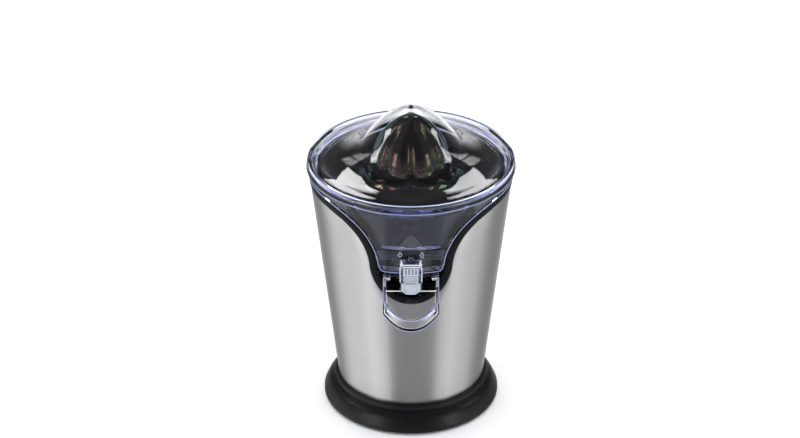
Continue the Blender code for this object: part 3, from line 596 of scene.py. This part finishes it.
def apron_skirt(depth):
    """Apron in front, running on as a low skirt under the flange, with a rounded bead along its edge."""
    bead, ease = 1.0, 0.6
    rings = []
    for a in range(0, 181, 20):
        edge = half_way(apron_edge(bead * (1 - cos(radians(a)))))
        rings.append(ring_on_body(edge, depth - 0.8 * bead * sin(radians(a))))
    body = half_way(apron_edge(2 * bead))
    rings += [ring_on_body(lifted(body, FLANGE_Z, k / 8), depth) for k in range(1, 9)]
    rings += [ring_on_body(lifted(body, FLANGE_Z, k / 8), BOWL_WALL) for k in range(8, -1, -1)]
    for inset, below in ((ease, BOWL_WALL), (ease * 0.3, BOWL_WALL - 0.3 * ease), (0, BOWL_WALL - ease)):
        rings.append(ring_on_body(half_way(apron_edge(inset)), below))
    return skin(rings)


def make_edge_lines(edge):
    """Painted highlight lines on the clear plastic: thin glowing tubes along the apron edge, flange and cross
    bar.
    """
    apron = tube(ring_on_body(half_way(apron_edge(0.25)), -0.35), 0.42, closed=True)
    flange = tube(ring(BOWL_HIGH.x - 0.25, FLANGE_Z, circle(ROUND)), 0.35, closed=True)
    bar = fillet([(-22.4, 163.6, 1.2), (22.4, 163.6, 1.2), (22.4, 169.0, 1.2), (-22.4, 169.0, 1.2)], 4)
    bar = tube([(x, -73.1, z) for x, z in bar], 0.35, closed=True)
    piece("bowl_edge_highlights", joined(apron, flange, bar), edge, "bowl", "clear_plastic", sharp=80)


def make_rib_lines(light):
    """Painted highlight lines: thin glowing tubes along the edges of the nozzle block's frame and of the
    lever's bars, ribs and teeth.
    """
    face = 91.3
    frame_edge = fillet([(-9.0, 163.4), (-9.0, 179.5, 3), (9.0, 179.5, 3), (9.0, 163.4)], 6, False)
    brow = [(-7.6 + 1.52 * i, 177.4) for i in range(11)]
    # light is the painted highlight material, which glows faintly by itself
    outlines = [strand(line, face, 0.38) for line in (frame_edge, brow)]
    piece("nozzle_edge_highlights", joined(*outlines), light, "bowl", "clear_plastic", sharp=80)
    lines = [[(-6.0, z), (0.0, z), (6.0, z)] for z in (163.6, 165.6, 167.6, 169.6)]
    lines += [[(x, 170.4), (x, 173.2), (x, 176.0)] for x in (-5.6, -2.8, 0.0, 2.8, 5.6)]
    lines += [[(x, 161.0), (x, 161.8), (x, 162.6)] for x in (-5.0, -2.5, 0.0, 2.5, 5.0)]
    ribs = [strand(line, face + 0.2, 0.36) for line in lines]
    piece("lever_rib_highlights", joined(*ribs), light, "drip_stop", "clear_plastic", sharp=80)


def make_nozzle(clear):
    """Clear nozzle block: duct, cross bar, spout lugs, bridge, knob and the drip stop's cheeks."""
    duct = block(-9.2, 9.2, 68.4, 84.5, 151.0, 169.6, 0.5)
    bar = block(-22.6, 22.6, 68.4, 73.0, 163.4, 169.2, 1.2)
    bridge = block(-8.0, 8.0, 82.2, 84.2, 172.0, 179.6, 0.3)
    knob = prism(arc(0, 180.6, 2.2, 0, 345, 23), front_view, 82.3, 84.5, 0.5)
    lug = [(68.6, 168.5), (68.6, 160.0), (72.0, 158.9)] + arc(*SPOUT_PIVOT, 2.9, 260, 410, 16)
    lug += [(79.0, 164.5), (72.8, 164.5), (72.8, 168.5)]
    lugs = [prism(lug, side_view, x, x + 3.0, 0.3) for x in (-20.4, 17.4)]
    cheek = fillet([(84.0, 163.0, 0.4), (88.5, 163.0, 1.2), (91.0, 165.5, 1.5), (91.2, 179.7, 3.2),
                    (82.2, 179.7, 0.8), (81.2, 171.0, 1), (80.6, 165.0, 0.4)], 6)
    cheeks = [prism(cheek, side_view, x, x + 2.3, 0.35) for x in (-9.2, 6.9)]
    passage = block(-6.6, 6.6, 70.6, 82.0, 153.2, 171.0, 0.6)
    port = block(-5.4, 5.4, 80.0, 86.0, 153.4, 160.6, 1.0)
    mouth = block(-6.6, 6.6, 75.8, 82.1, 167.0, 171.0, 0.3)
    bm = combined(duct, add=[bar, joined(*lugs), joined(*cheeks), bridge, knob],
                  cut=[passage, port, mouth, pin_bore(STOP_PIVOT, 12), pin_bore(SPOUT_PIVOT, 24)])
    piece("nozzle_block", bm, clear, "bowl", "clear_plastic", "outlet_housing", sharp=28)


def make_hinge_pins(metal):
    for name, body, node, pivot in (("stop_pivot_pin", "bowl", "stop_pin", STOP_PIVOT),
                                    ("spout_hinge_pin_left", "spout", "spout_pin_left", SPOUT_PIVOT),
                                    ("spout_hinge_pin_right", "spout", "spout_pin_right", SPOUT_PIVOT)):
        low, high = span(node)
        piece(name, rod(PIN_RADIUS, low.x, high.x, *pivot), metal, body, "bright_metal", node)


def make_lever(clear):
    """Ribbed lever of the drip stop, with upright bars above and a row of teeth below."""
    half = 6.5
    outline = arc(*STOP_PIVOT, 3.0, 0, 180, 18)
    outline += fillet([(85.0, 175.0), (85.2, 171.5, 1), (87.3, 170.5, 1), (87.3, 160.9, 0.3),
                       (90.6, 160.9, 0.4), (91.0, 165.0, 2), (91.0, 175.0)], 4, False)[1:-1]
    ribs = [block(-half, half, 90.0, 91.4, z, z + 0.9, 0.3) for z in (163.6, 165.4, 167.2, 169.0)]
    bars = [block(x - 0.55, x + 0.55, 89.5, 91.4, 170.4, 176.2, 0.35) for x in (-4.8, -2.4, 0.0, 2.4, 4.8)]
    teeth = [block(x - 0.8, x + 0.8, 89.6, 91.5, 160.9, 163.0, 0.35) for x in (-5.0, -2.5, 0.0, 2.5, 5.0)]
    bm = combined(prism(outline, side_view, -half, half, 0.3),
                  add=[joined(*ribs), joined(*bars), joined(*teeth)], cut=[pin_bore(STOP_PIVOT, 8)])
    piece("stop_lever", bm, clear, "drip_stop", "clear_plastic", "drip_lever", sharp=28)


def make_pad(silicone):
    """Soft pad of the drip stop: a shallow groove runs round its face."""
    low, high = span("drip_seal")
    back, face = SPINDLE_Y - high.y, SPINDLE_Y - low.y
    height = (low.z + high.z) / 2
    groove = 0.45
    steps = [(0.0, back), (0.0, face - 0.7), (0.25, face - 0.2), (0.8, face), (1.6, face),
             (1.9, face - groove), (2.5, face - groove), (2.8, face - 0.1)]
    rings = [[(x, -at, z) for x, z in pad_outline(inset, high.x, low.z, high.z)] for inset, at in steps]
    rings = [[(0, -back, height)]] + rings + [[(0, -face, height)]]
    piece("stop_pad", skin(rings), silicone, "drip_stop", "grey_silicone", "drip_seal", sharp=60)


def pad_outline(inset, half, low, high):
    """Outline of the soft pad: square shoulders above, a shallow round foot below."""
    side = half - inset
    return fillet([(-side, high - inset, 1.2), (-side, low + 3.6, 3.0), (-half * 0.5, low + inset, 4.0),
                   (half * 0.5, low + inset, 4.0), (side, low + 3.6, 3.0), (side, high - inset, 1.2)], 6)


def make_tray(clear, edge):
    """Open spout tray: floor, side walls and a pointed nose, with rounded edges and painted highlight lines
    along them.
    """
    front, height = SPOUT_PIVOT
    half, length, nose = span("spout_tray")[1].x, 33.0, 24.0
    wall, floor, top = 2.4, 2.0, 3.0
    root_depth, nose_depth = 16.6, 9.6
    bluntness = 2.15             # 2 is a parabola, and more is blunter
    taper_in = 1.15              # the nose draws in faster than the sides
    turn = [sin(radians(90 * (i / 26))) for i in range(27)]

    def outline(inset):
        """Right half, from the root to the tip: (across, along)."""
        side = [(half - inset, (length - 1.0) * i / 10) for i in range(10)]
        reach = nose - taper_in * inset
        return side + [((half - inset) * t, length + reach * (1 - t ** bluntness)) for t in reversed(turn)]

    def place(across, along, up):
        return (across, -(front + along * cos(SPOUT_TILT) + up * sin(SPOUT_TILT)),
                height - along * sin(SPOUT_TILT) + up * cos(SPOUT_TILT))

    def whole(right):
        """Points of both halves, from the right half's (across, along, up)."""
        return [place(-x, v, u) for x, v, u in right] + [place(x, v, u) for x, v, u in reversed(right[:-1])]

    def row(inset, level):
        """Row round the tray; level(along) is its height."""
        return whole([(x, v, level(v)) for x, v in outline(inset)])

    def floor_row(inset, share, level):
        """Row across the floor, a share of the way from the wall's foot to the spine."""
        right = [(x * (1 - share), v + (min(v, length) - v) * share) for x, v in outline(inset)]
        return whole([(x, v, level(v)) for x, v in right])

    def over_base(offset):
        """Height that keeps an offset above the sloping underside."""
        return lambda along: -root_depth + (root_depth - nose_depth) * along / (length + nose) + offset

    def at(level):
        return lambda along: level

    foot, lip, inner_foot = 2.0, 0.9, 1.2
    fine = [radians(a) for a in (0, 22, 45, 68, 90)]
    coarse = [radians(a) for a in (0, 30, 60, 90)]
    rows = [floor_row(foot, share, over_base(0)) for share in (1.0, 0.66, 0.33)]
    rows += [row(foot * (1 - sin(a)), over_base(foot * (1 - cos(a)))) for a in fine]
    rows.append(row(0, at(top - lip - 4.0)))
    rows += [row(lip * (1 - cos(a)), at(top - lip + lip * sin(a))) for a in coarse]
    rows += [row(wall - lip * (1 - cos(a)), at(top - lip + lip * sin(a))) for a in reversed(coarse)]
    rows += [row(wall + inner_foot * (1 - cos(a)), over_base(floor + inner_foot * (1 - sin(a))))
             for a in coarse]
    rows += [floor_row(wall + inner_foot, share, over_base(floor)) for share in (0.33, 0.66, 1.0)]
    bm = bmesh.new()
    made = [[bm.verts.new(p) for p in points] for points in rows]
    for low_row, high_row in zip(made, made[1:]):
        for i in range(len(low_row) - 1):
            bm.faces.new((low_row[i], low_row[i + 1], high_row[i + 1], high_row[i]))
    for k in range(len(made) // 2 - 1):          # close the two ends of the wall at the root
        for end in (0, -1):
            bm.faces.new((made[k][end], made[k + 1][end], made[-k - 2][end], made[-k - 1][end]))
    bmesh.ops.remove_doubles(bm, verts=bm.verts, dist=0.003)
    bmesh.ops.dissolve_degenerate(bm, edges=bm.edges, dist=0.001)
    ear = arc(front, height, 3.6, 0, 350, 35)
    ears = [prism(ear, side_view, x, x + wall, 0.5) for x in (-half, half - wall)]
    piece("spout_channel", combined(bm, add=[joined(*ears)], cut=[pin_bore(SPOUT_PIVOT, 30)]), clear, "spout",
          "clear_plastic", "spout_tray", sharp=40)
    # painted highlight lines: glowing tubes along the tray's rim and its underside
    edges = ((0.25, at(top - 0.4)), (0.7, over_base(0.2)))
    lines = [tube(row(inset, level)[1:-1], 0.32) for inset, level in edges]
    piece("spout_edge_highlights", joined(*lines), edge, "spout", "clear_plastic", sharp=80)


# ---------------- strainer, cone, lid

def make_strainer(gloss):
    """Glossy dish with long juice slots through its slope."""
    high = span("strainer")[1]
    top, lip = high.z, high.x
    count, first, last, thickness = 24, 49.0, 66.0, 2.1
    slot_rows = 6                # rows of faces along a slot

    def face(share):
        """Point of the sloping upper face, a share of the way out."""
        return first + (last - first) * share, 208.3 + 4.4 * share * share + 0.6 * share

    slope = [face(k / slot_rows) for k in range(slot_rows + 1)]
    under = [(r, z - thickness) for r, z in slope]
    bore = fillet([(14.0, 205.7), (8.5, 205.7, 0.5), (8.5, 207.9, 0.5), (14.0, 207.9)], 3, False)
    rim = fillet([(last + 0.4, 210.8), (74.4, 217.4, 1.5), (75.4, 218.7, 0.5), (lip, 218.7, 0.4),
                  (lip, 220.9, 0.6), (75.7, top, 1.2), (73.6, 219.4, 2.5), (last + 0.6, 213.6)], 5, False)
    profile = [(14.0, 207.9), (30.0, 207.9), (46.0, 208.05)] + slope + rim[::-1] + under[::-1]
    profile += [(46.0, 205.9), (30.0, 205.75)] + bore
    over = 3  # first row of the slope, and of its underside
    under_at = over + len(slope) + len(rim)
    bm = bmesh.new()
    made = [[bm.verts.new(p) for p in ring(r, z, circle(ROUND))] for r, z in profile]
    period = ROUND // count
    open_rows = {start + k for start in (over, under_at) for k in range(slot_rows)}
    for k, lower in enumerate(made):
        upper = made[(k + 1) % len(made)]
        for i in range(ROUND):
            j = (i + 1) % ROUND
            if k not in open_rows or i % period != period // 2:
                bm.faces.new((lower[i], lower[j], upper[j], upper[i]))
    for i in range(period // 2, ROUND, period):
        j = i + 1
        for k in range(slot_rows):
            up, down = over + k, under_at + slot_rows - k
            for side in (i, j):
                bm.faces.new((made[up][side], made[up + 1][side], made[down - 1][side], made[down][side]))
        for up, down in ((over, under_at + slot_rows), (over + slot_rows, under_at)):
            bm.faces.new((made[up][i], made[up][j], made[down][j], made[down][i]))
    piece("strainer_dish", bm, gloss, "strainer_body", "black_gloss", "strainer", sharp=40)


def make_cone(gloss):
    """Reaming cone: eight broad lobes, a fine rib in every groove, and a spreading skirt."""
    low, high = span("juicing_cone")
    tip = high.z
    groove_depth, groove_shape = 0.125, 2.4
    rib_height, rib_width = 0.045, 0.16
    skirt, socket, socket_low, socket_top = 45.0, 4.4, 213.3, 232.0
    profile = flowing(below(tip, [(0.0, 0), (6.0, 1.5), (13.0, 6.2), (19.6, 12.4), (25.4, 19.9), (29.8, 27.9),
                                  (33.0, 37.4), (34.8, 46.8), (35.8, 53.2), (38.6, 57.6), (skirt, 60.4)]), 7)
    angles = circle(384)

    def ease(t):
        t = min(1.0, max(0.0, t))
        return t * t * (3 - 2 * t)

    def scale(angle, z):
        """Share of the profile's radius: less in a groove, a little more on its rib."""
        across = abs(sin(4 * (angle + pi / 2)))
        fade = ease((z - 214.5) / 9.0) * ease((tip + 0.5 - z) / 13.0)
        groove = groove_depth * (1 - across) ** groove_shape
        rib = rib_height * max(0.0, 1 - (across / rib_width) ** 2)
        return 1 - fade * (groove - rib)

    inner = [(skirt, low.z), (36.0, low.z + 1.6), (29.4, 221.0), (26.4, 235.0), (19.0, 249.0), (8.0, 253.0),
             (7.5, socket_low)]
    driven = [hexagon(socket, a) for a in angles]
    rings = [ring([r * scale(a, z) for a in angles], z, angles) for r, z in profile[1:]]
    rings += [ring(r, z, angles) for r, z in inner + [(driven, socket_low), (driven, socket_top)]]
    rings = [[(0, 0, tip)]] + rings + [[(0, 0, socket_top)]]
    piece("lobed_cone", skin(rings), gloss, "cone", "black_gloss", "juicing_cone", sharp=50)


def make_lid(clear):
    """Bell-shaped clear lid with a small moulding pip at its peak."""
    low, high = span("dust_lid")
    top, rim, foot = high.z, high.x, low.z
    dome = flowing(below(top, [(2.9, 1.75), (10.0, 3.8), (18.0, 8.7), (26.5, 15.6), (38.0, 29.2),
                               (45.0, 36.2), (52.0, 41.1), (58.5, 44.3), (65.0, 46.4), (71.0, 47.7),
                               (76.5, 48.6), (80.0, 49.3)]), 6)
    pip = fillet([(0, top), (1.7, top - 0.1, 0.4), (2.2, top - 1.4, 0.6), (2.9, top - 1.75)], 4, False)
    edge = fillet([(80.0, top - 49.3), (rim - 1.2, foot + 3.0, 1.8), (rim, foot + 0.5, 0.5), (rim, foot, 0.2),
                   (rim - 2.1, foot, 0.3), (79.0, foot + 1.9, 2)], 6, False)
    inner = flowing(above(foot, [(79.0, 1.9), (75.6, 2.6), (70.4, 3.5), (64.4, 4.8), (57.8, 6.9),
                                 (51.0, 10.2), (43.6, 15.4), (36.5, 22.9), (25.2, 36.1), (16.9, 42.9),
                                 (9.2, 47.5), (0.0, 49.8)]), 6)
    outline = pip + dome[1:] + edge[1:] + inner[1:]
    piece("bell_lid", turned(outline), clear, "lid", "clear_plastic", "dust_lid", sharp=40)


def on_apron(x, z, depth):
    """Point over the apron's front at height z, a depth below the steel's surface."""
    reach = body_radius(z) - depth
    return (x, -sqrt(reach * reach - x * x), z)


def stroke(points, width):
    """Outline of a thin line drawn through points."""
    left, right = [], []
    for i, point in enumerate(points):
        before = Vector(points[max(i - 1, 0)])
        after = Vector(points[min(i + 1, len(points) - 1)])
        along = (after - before).normalized() * width / 2
        left.append((point[0] - along.y, point[1] + along.x))
        right.append((point[0] + along.y, point[1] - along.x))
    return left + right[::-1]


def make_marks(print_colour):
    """Two small generic drops printed on the apron beside the knob; the right one has a bar under it."""
    high, low = 0.0, 0.05        # depths of the print's two faces
    across, height, width = 9.0, 184.0, 0.45
    drop = [(0, 2.4)] + arc(0, -0.6, 1.5, 30, -210, 16) + [(0, 2.4)]
    lines = [[(across * side + x, height + z) for x, z in drop] for side in (-1, 1)]
    lines.append([(across - 1.6, height - 3.4), (across + 1.6, height - 3.4)])
    shapes = [prism(stroke(line, width), on_apron, high, low) for line in lines]
    piece("apron_marks", joined(*shapes), print_colour, "bowl", "grey_silicone")


# ---------------- materials

def feed(tree, target, *values, **named):
    """Give a node's inputs constants or other nodes' outputs: in order, or by name with _ for spaces."""
    pairs = list(zip(target.inputs, values))
    pairs += [(target.inputs[name.replace("_", " ")], value) for name, value in named.items()]
    for socket, value in pairs:
        if isinstance(value, bpy.types.NodeSocket):
            tree.links.new(value, socket)
        else:
            socket.default_value = value


def node(tree, kind, *values, operation=None, **named):
    """Outputs of a new node, whose inputs are given as for feed."""
    made = tree.nodes.new("ShaderNode" + kind)
    if operation:
        made.operation = operation
    feed(tree, made, *values, **named)
    return made.outputs


def noise(tree, scale, detail, stretch=(1, 1, 1)):
    """Noise value in object space; scale is per metre and stretch multiplies it along each axis."""
    place = node(tree, "Mapping", node(tree, "TexCoord")["Object"], Scale=stretch)["Vector"]
    return node(tree, "TexNoise", place, Scale=scale, Detail=detail)["Fac"]


def spread(tree, value, low, high):
    """Noise value, which mostly keeps between 0.3 and 0.7, stretched to run from low to high."""
    return node(tree, "MapRange", value, From_Min=0.3, From_Max=0.7, To_Min=low, To_Max=high)["Result"]


def between(tree, value, first, second):
    """Colour running from first to second with value."""
    ramp = tree.nodes.new("ShaderNodeValToRGB")
    for stop, colour in zip(ramp.color_ramp.elements, (first, second)):
        stop.color = (*colour, 1)
    feed(tree, ramp, value)
    return ramp.outputs["Color"]


def bump(tree, principled, value, strength, distance):
    """Dent the surface by value."""
    dented = node(tree, "Bump", Height=value, Strength=strength, Distance=distance)["Normal"]
    feed(tree, principled, Normal=dented)


def shader(name, **values):
    """New material, its node tree and its Principled shader with the values given."""
    mat = bpy.data.materials.new(name)
    mat.use_nodes = True
    tree = mat.node_tree
    principled = tree.nodes["Principled BSDF"]
    feed(tree, principled, **values)
    return mat, tree, principled


def uneven(name, colours, roughness, drift, wear, **values):
    """Material whose colour and roughness run between two values each.

    drift and wear are the noises that move the colour and the roughness: (scale, detail).
    """
    mat, tree, principled = shader(name, **values)
    feed(tree, principled, Base_Color=between(tree, noise(tree, *drift), *colours),
         Roughness=spread(tree, noise(tree, *wear), *roughness))
    return mat, tree, principled


def brushed_steel():
    """Stainless sheet brushed round its girth."""
    mat, tree, principled = shader("brushed_steel", Metallic=1.0, Anisotropic=0.9, Anisotropic_Rotation=0.25)
    tangent = tree.nodes.new("ShaderNodeTangent")
    tangent.direction_type = "RADIAL"
    tangent.axis = "Z"
    hairline = noise(tree, 1.0, 4.0, (14, 14, 3200))
    grain = spread(tree, noise(tree, 1.0, 3.0, (9, 9, 900)), 0.0, 1.0)
    feed(tree, principled, Tangent=tangent.outputs["Tangent"], Roughness=spread(tree, hairline, 0.28, 0.34),
         Base_Color=between(tree, grain, (0.59, 0.59, 0.6), (0.62, 0.62, 0.625)))
    bump(tree, principled, hairline, 0.01, 0.00005)
    return mat


def moulded(name, first, second, low_roughness, high_roughness, texture=2600, strength=0.12, **values):
    """Moulded plastic or rubber: faint colour drift, uneven gloss and a fine spark-eroded texture."""
    mat, tree, principled = uneven(name, (first, second), (low_roughness, high_roughness), (30, 3.0),
                                   (90, 4.0), **values)
    bump(tree, principled, noise(tree, texture, 2.0), strength, 0.0001)
    return mat


def painted_shade_satin():
    """Band and recess behind the bowl: the same satin plastic, made darker and duller as painted shade."""
    return moulded("painted_shade_satin", (0.002, 0.002, 0.0025), (0.004, 0.004, 0.005), 0.34, 0.42,
                   Specular_IOR_Level=0.12)


def cone_gloss():
    """Deep black gloss under a thin film, which tints its highlights."""
    mat, tree, principled = uneven("cone_gloss", ((0.004, 0.004, 0.005), (0.01, 0.01, 0.011)), (0.05, 0.1),
                                   (40, 2.0), (160, 3.0), Thin_Film_IOR=1.45, IOR=1.55)
    feed(tree, principled, Thin_Film_Thickness=spread(tree, noise(tree, 22, 1.0), 390, 470))
    return mat


def clear_moulding(name, first, second, roughness, absorb, density, bending=1.5):
    """Clear moulded plastic, darker along its long ways through; lamps shine through it."""
    mat, tree, principled = uneven(name, (first, second), (roughness, roughness + 0.02), (18, 2.0), (70, 3.0),
                                   Transmission_Weight=1.0, IOR=bending)
    open_way = node(tree, "BsdfTransparent", Color=(0.86, 0.87, 0.9, 1))["BSDF"]
    shadow = node(tree, "LightPath")["Is Shadow Ray"]
    choice = node(tree, "MixShader", shadow, principled.outputs["BSDF"], open_way)
    volume = node(tree, "VolumeAbsorption", Color=(*absorb, 1), Density=density)["Volume"]
    feed(tree, tree.nodes["Material Output"], Surface=choice["Shader"], Volume=volume)
    return mat


def thin_moulding(name, bending=1.5, density=12.0):
    """Clear plastic of the lid and the tray, thinner and paler than the bowl's."""
    return clear_moulding(name, (0.98, 0.98, 0.99), (0.99, 0.99, 1.0), 0.01, (0.6, 0.66, 0.9), density,
                          bending)


def painted_edge_highlight():
    """Painted highlight for the clear plastic's edges: pale blue-violet colour with a faint glow of its own.
    """
    return uneven("painted_edge_highlight", ((0.42, 0.48, 0.8), (0.62, 0.66, 0.88)), (0.14, 0.26), (60, 3.0), (200, 2.0),
                  Transmission_Weight=0.6, IOR=1.5, Emission_Color=(0.42, 0.48, 0.8, 1),
                  Emission_Strength=0.14)[0]


def painted_rib_highlight():
    """Painted highlight for small rounded ribs of clear plastic: nearly white, with a faint glow of its own.
    """
    return uneven("painted_rib_highlight", ((0.74, 0.78, 0.88), (0.95, 0.96, 0.98)), (0.08, 0.2), (150, 3.0), (400, 2.0),
                  Transmission_Weight=0.45, IOR=1.5, Emission_Color=(0.8, 0.85, 0.95, 1),
                  Emission_Strength=0.1)[0]


def frosted_grip():
    """Clear plastic of the lever, clouded by its many small ribs."""
    return uneven("frosted_grip", ((0.66, 0.72, 0.84), (0.84, 0.87, 0.93)), (0.06, 0.2), (120, 3.0),
                  (300, 2.0), Transmission_Weight=0.82, IOR=1.5)[0]


def striped(name, first, second, pitch, roughness):
    """Metal in thin layers or turns, a pitch apart along Z."""
    mat, tree, principled = shader(name, Metallic=0.9)
    wave = tree.nodes.new("ShaderNodeTexWave")
    wave.bands_direction = "Z"
    feed(tree, wave, node(tree, "TexCoord")["Object"], Scale=0.314 / (pitch * MM), Distortion=0.4)
    stripe = wave.outputs["Fac"]
    feed(tree, principled, Base_Color=between(tree, stripe, first, second),
         Roughness=spread(tree, noise(tree, 300, 3.0), roughness, roughness + 0.15))
    bump(tree, principled, stripe, 0.5, pitch * MM / 3)
    return mat


def finishes():
    """Material for each slot of the record."""
    return {
        "brushed_steel": brushed_steel(),
        "black_satin": moulded("black_satin", (0.004, 0.004, 0.005), (0.006, 0.006, 0.007), 0.32, 0.42,
                               Specular_IOR_Level=0.3),
        "black_gloss": moulded("black_gloss", (0.006, 0.006, 0.007), (0.01, 0.01, 0.011), 0.06, 0.12, 400,
                               0.01),
        "clear_plastic": clear_moulding("clear_plastic", (0.96, 0.97, 0.98), (0.98, 0.98, 0.99), 0.015,
                                        (0.5, 0.57, 0.92), 34.0),
        "grey_silicone": moulded("grey_silicone", (0.42, 0.46, 0.52), (0.5, 0.54, 0.6), 0.45, 0.6, 1500, 0.1,
                                 Subsurface_Weight=0.25, Subsurface_Radius=(0.002, 0.002, 0.002)),
        "black_rubber": moulded("black_rubber", (0.012, 0.012, 0.012), (0.022, 0.022, 0.022), 0.6, 0.8, 1200,
                                0.3),
        "gear_nylon": moulded("gear_nylon", (0.75, 0.74, 0.7), (0.82, 0.81, 0.77), 0.35, 0.5, 900, 0.1,
                              Subsurface_Weight=0.2, Subsurface_Radius=(0.002, 0.002, 0.0015)),
        "bright_metal": uneven("bright_metal", ((0.52, 0.52, 0.53), (0.68, 0.68, 0.69)), (0.16, 0.32),
                               (60, 3.0), (500, 3.0), Metallic=1.0)[0],
        "lamination": striped("lamination", (0.2, 0.2, 0.21), (0.42, 0.42, 0.43), 0.5, 0.4),
        "copper": striped("copper", (0.55, 0.2, 0.08), (0.8, 0.38, 0.17), 0.6, 0.25),
    }


# ---------------- floor, light and camera

def make_floor():
    """Wide pale floor."""
    mat, tree, principled = shader("floor_pale", Roughness=0.6)
    drift = noise(tree, 0.8, 2.0)
    feed(tree, principled, Base_Color=between(tree, drift, (0.86, 0.86, 0.86), (0.88, 0.88, 0.88)))
    bm = bmesh.new()
    bmesh.ops.create_grid(bm, x_segments=24, y_segments=24, size=30)
    mesh = mesh_from(bm, "studio_floor")
    mesh.materials.append(mat)
    floor = in_scene("studio_floor", mesh)
    floor.visible_glossy = False     # gloss mirrors the studio's panels instead


def softbox(name, place, width, height, power):
    """Area light at place, in metres, facing the object."""
    data = bpy.data.lights.new(name, "AREA")
    data.shape = "RECTANGLE"
    data.size = width
    data.size_y = height
    data.energy = power
    lamp = in_scene(name, data)
    lamp.location = place
    away = Vector(place) - Vector((0, SPINDLE_Y * MM, 0.15))
    lamp.rotation_mode = "QUATERNION"
    lamp.rotation_quaternion = away.to_track_quat("Z", "Y")
    lamp.visible_camera = False
    return lamp


def studio_panels(tree):
    """What gloss mirrors: panels round the room, by azimuth in degrees, that fade towards the ceiling."""
    levels = [(-180, 1.0), (-164, 0.95), (-150, 0.3), (-124, 0.34), (-112, 1.0), (-36, 0.95), (-30, 0.34),
              (36, 0.36), (42, 0.85), (96, 0.85), (108, 0.36), (148, 0.3), (162, 0.95), (180, 1.0)]
    parts = node(tree, "SeparateXYZ", node(tree, "TexCoord")["Generated"])
    ahead = node(tree, "Math", parts["Y"], -1.0, operation="MULTIPLY")["Value"]
    azimuth = node(tree, "Math", parts["X"], ahead, operation="ARCTAN2")["Value"]
    share = node(tree, "MapRange", azimuth, From_Min=-pi, From_Max=pi)["Result"]
    ramp = tree.nodes.new("ShaderNodeValToRGB")
    feed(tree, ramp, share)
    stops = ramp.color_ramp.elements
    for degrees, level in levels[1:-1]:
        stops.new((degrees + 180) / 360).color = (level, level, level, 1)
    for stop, level in ((stops[0], levels[0][1]), (stops[-1], levels[-1][1])):
        stop.color = (level, level, level, 1)
    fade = node(tree, "MapRange", parts["Z"], From_Min=0.02, From_Max=0.3, To_Min=1.0, To_Max=0.12)["Result"]
    return node(tree, "VectorMath", ramp.outputs["Color"], Scale=fade, operation="SCALE")["Vector"]


def make_lamps():
    softbox("softbox_left", (-0.58, 1.35, 1.67), 0.56, 0.5, 5)
    softbox("softbox_right", (0.58, 1.35, 1.67), 0.56, 0.5, 4)
    softbox("softbox_side_left", (-1.7, 0.3, 1.5), 0.45, 0.45, 5)
    softbox("softbox_side_right", (1.7, 0.3, 1.5), 0.45, 0.45, 4)
    softbox("softbox_front_left", (-1.6, -1.3, 0.6), 0.5, 1.0, 8)
    softbox("softbox_front_right", (1.8, -1.3, 0.6), 0.5, 1.0, 7)
    over = softbox("softbox_over", (0, -0.2, 2.6), 2.0, 2.0, 24)
    over.visible_glossy = False
    over.visible_transmission = False


def make_world():
    """Even pale light from all round; gloss mirrors the studio's panels."""
    world = bpy.data.worlds.new("studio")
    world.use_nodes = True
    tree = world.node_tree
    ambient = tree.nodes["Background"]
    feed(tree, ambient, Color=(0.95, 0.97, 1.0, 1), Strength=1.08)
    panels = node(tree, "Background", studio_panels(tree))["Background"]
    glossy = node(tree, "LightPath")["Is Glossy Ray"]
    choice = node(tree, "MixShader", glossy, ambient.outputs["Background"], panels)
    feed(tree, tree.nodes["World Output"], Surface=choice["Shader"])
    bpy.context.scene.world = world
    bpy.context.scene.view_settings.view_transform = "Standard"


def make_camera():
    """Long lens in front of the juicer, looking down on it."""
    elevation, distance, aim_height = radians(30.28), 2.661, 0.140
    data = bpy.data.cameras.new("camera")
    data.lens = 139.5
    data.sensor_width = 36
    data.shift_x = -0.01375
    data.shift_y = 0.0400
    camera = in_scene("camera", data)
    back = Vector((0, -cos(elevation), sin(elevation)))
    camera.location = Vector((0, SPINDLE_Y * MM, aim_height)) + back * distance
    camera.rotation_mode = "QUATERNION"
    camera.rotation_quaternion = back.to_track_quat("Z", "Y")
    bpy.context.scene.camera = camera


def main():
    finish = finishes()
    for part in frame["record"]["subparts"]:
        for holder in frame["nodes"][part["node"]].material_slots:
            holder.material = finish[part["material_slot"]]
    satin, gloss, clear = finish["black_satin"], finish["black_gloss"], finish["clear_plastic"]
    metal, rubber, silicone = finish["bright_metal"], finish["black_rubber"], finish["grey_silicone"]
    # edge is the painted highlight material: blue-violet, faintly glowing, for the clear plastic's edge lines
    shaded_satin, edge = painted_shade_satin(), painted_edge_highlight()
    make_foot(satin)
    make_base_cover(satin)
    make_pads(rubber)
    make_cover_screws(metal)
    make_sleeve(finish["brushed_steel"])
    # band and barrel take the satin plastic darkened as painted shade, not the foot's black satin
    make_trim(shaded_satin)
    make_inner_barrel(shaded_satin)
    make_cord_inlet(rubber)
    make_shaft(metal)
    make_return_spring(metal)
    make_bowl(clear)
    make_nozzle(clear)
    make_edge_lines(edge)
    make_rib_lines(painted_rib_highlight())
    make_lever(frosted_grip())
    make_pad(silicone)
    make_tray(thin_moulding("thin_walls", bending=1.22, density=8.0), edge)
    make_hinge_pins(metal)
    make_marks(silicone)
    make_strainer(gloss)
    make_cone(cone_gloss())
    make_lid(thin_moulding("thin_clear"))
    make_floor()
    make_lamps()
    make_world()
    make_camera()


main()
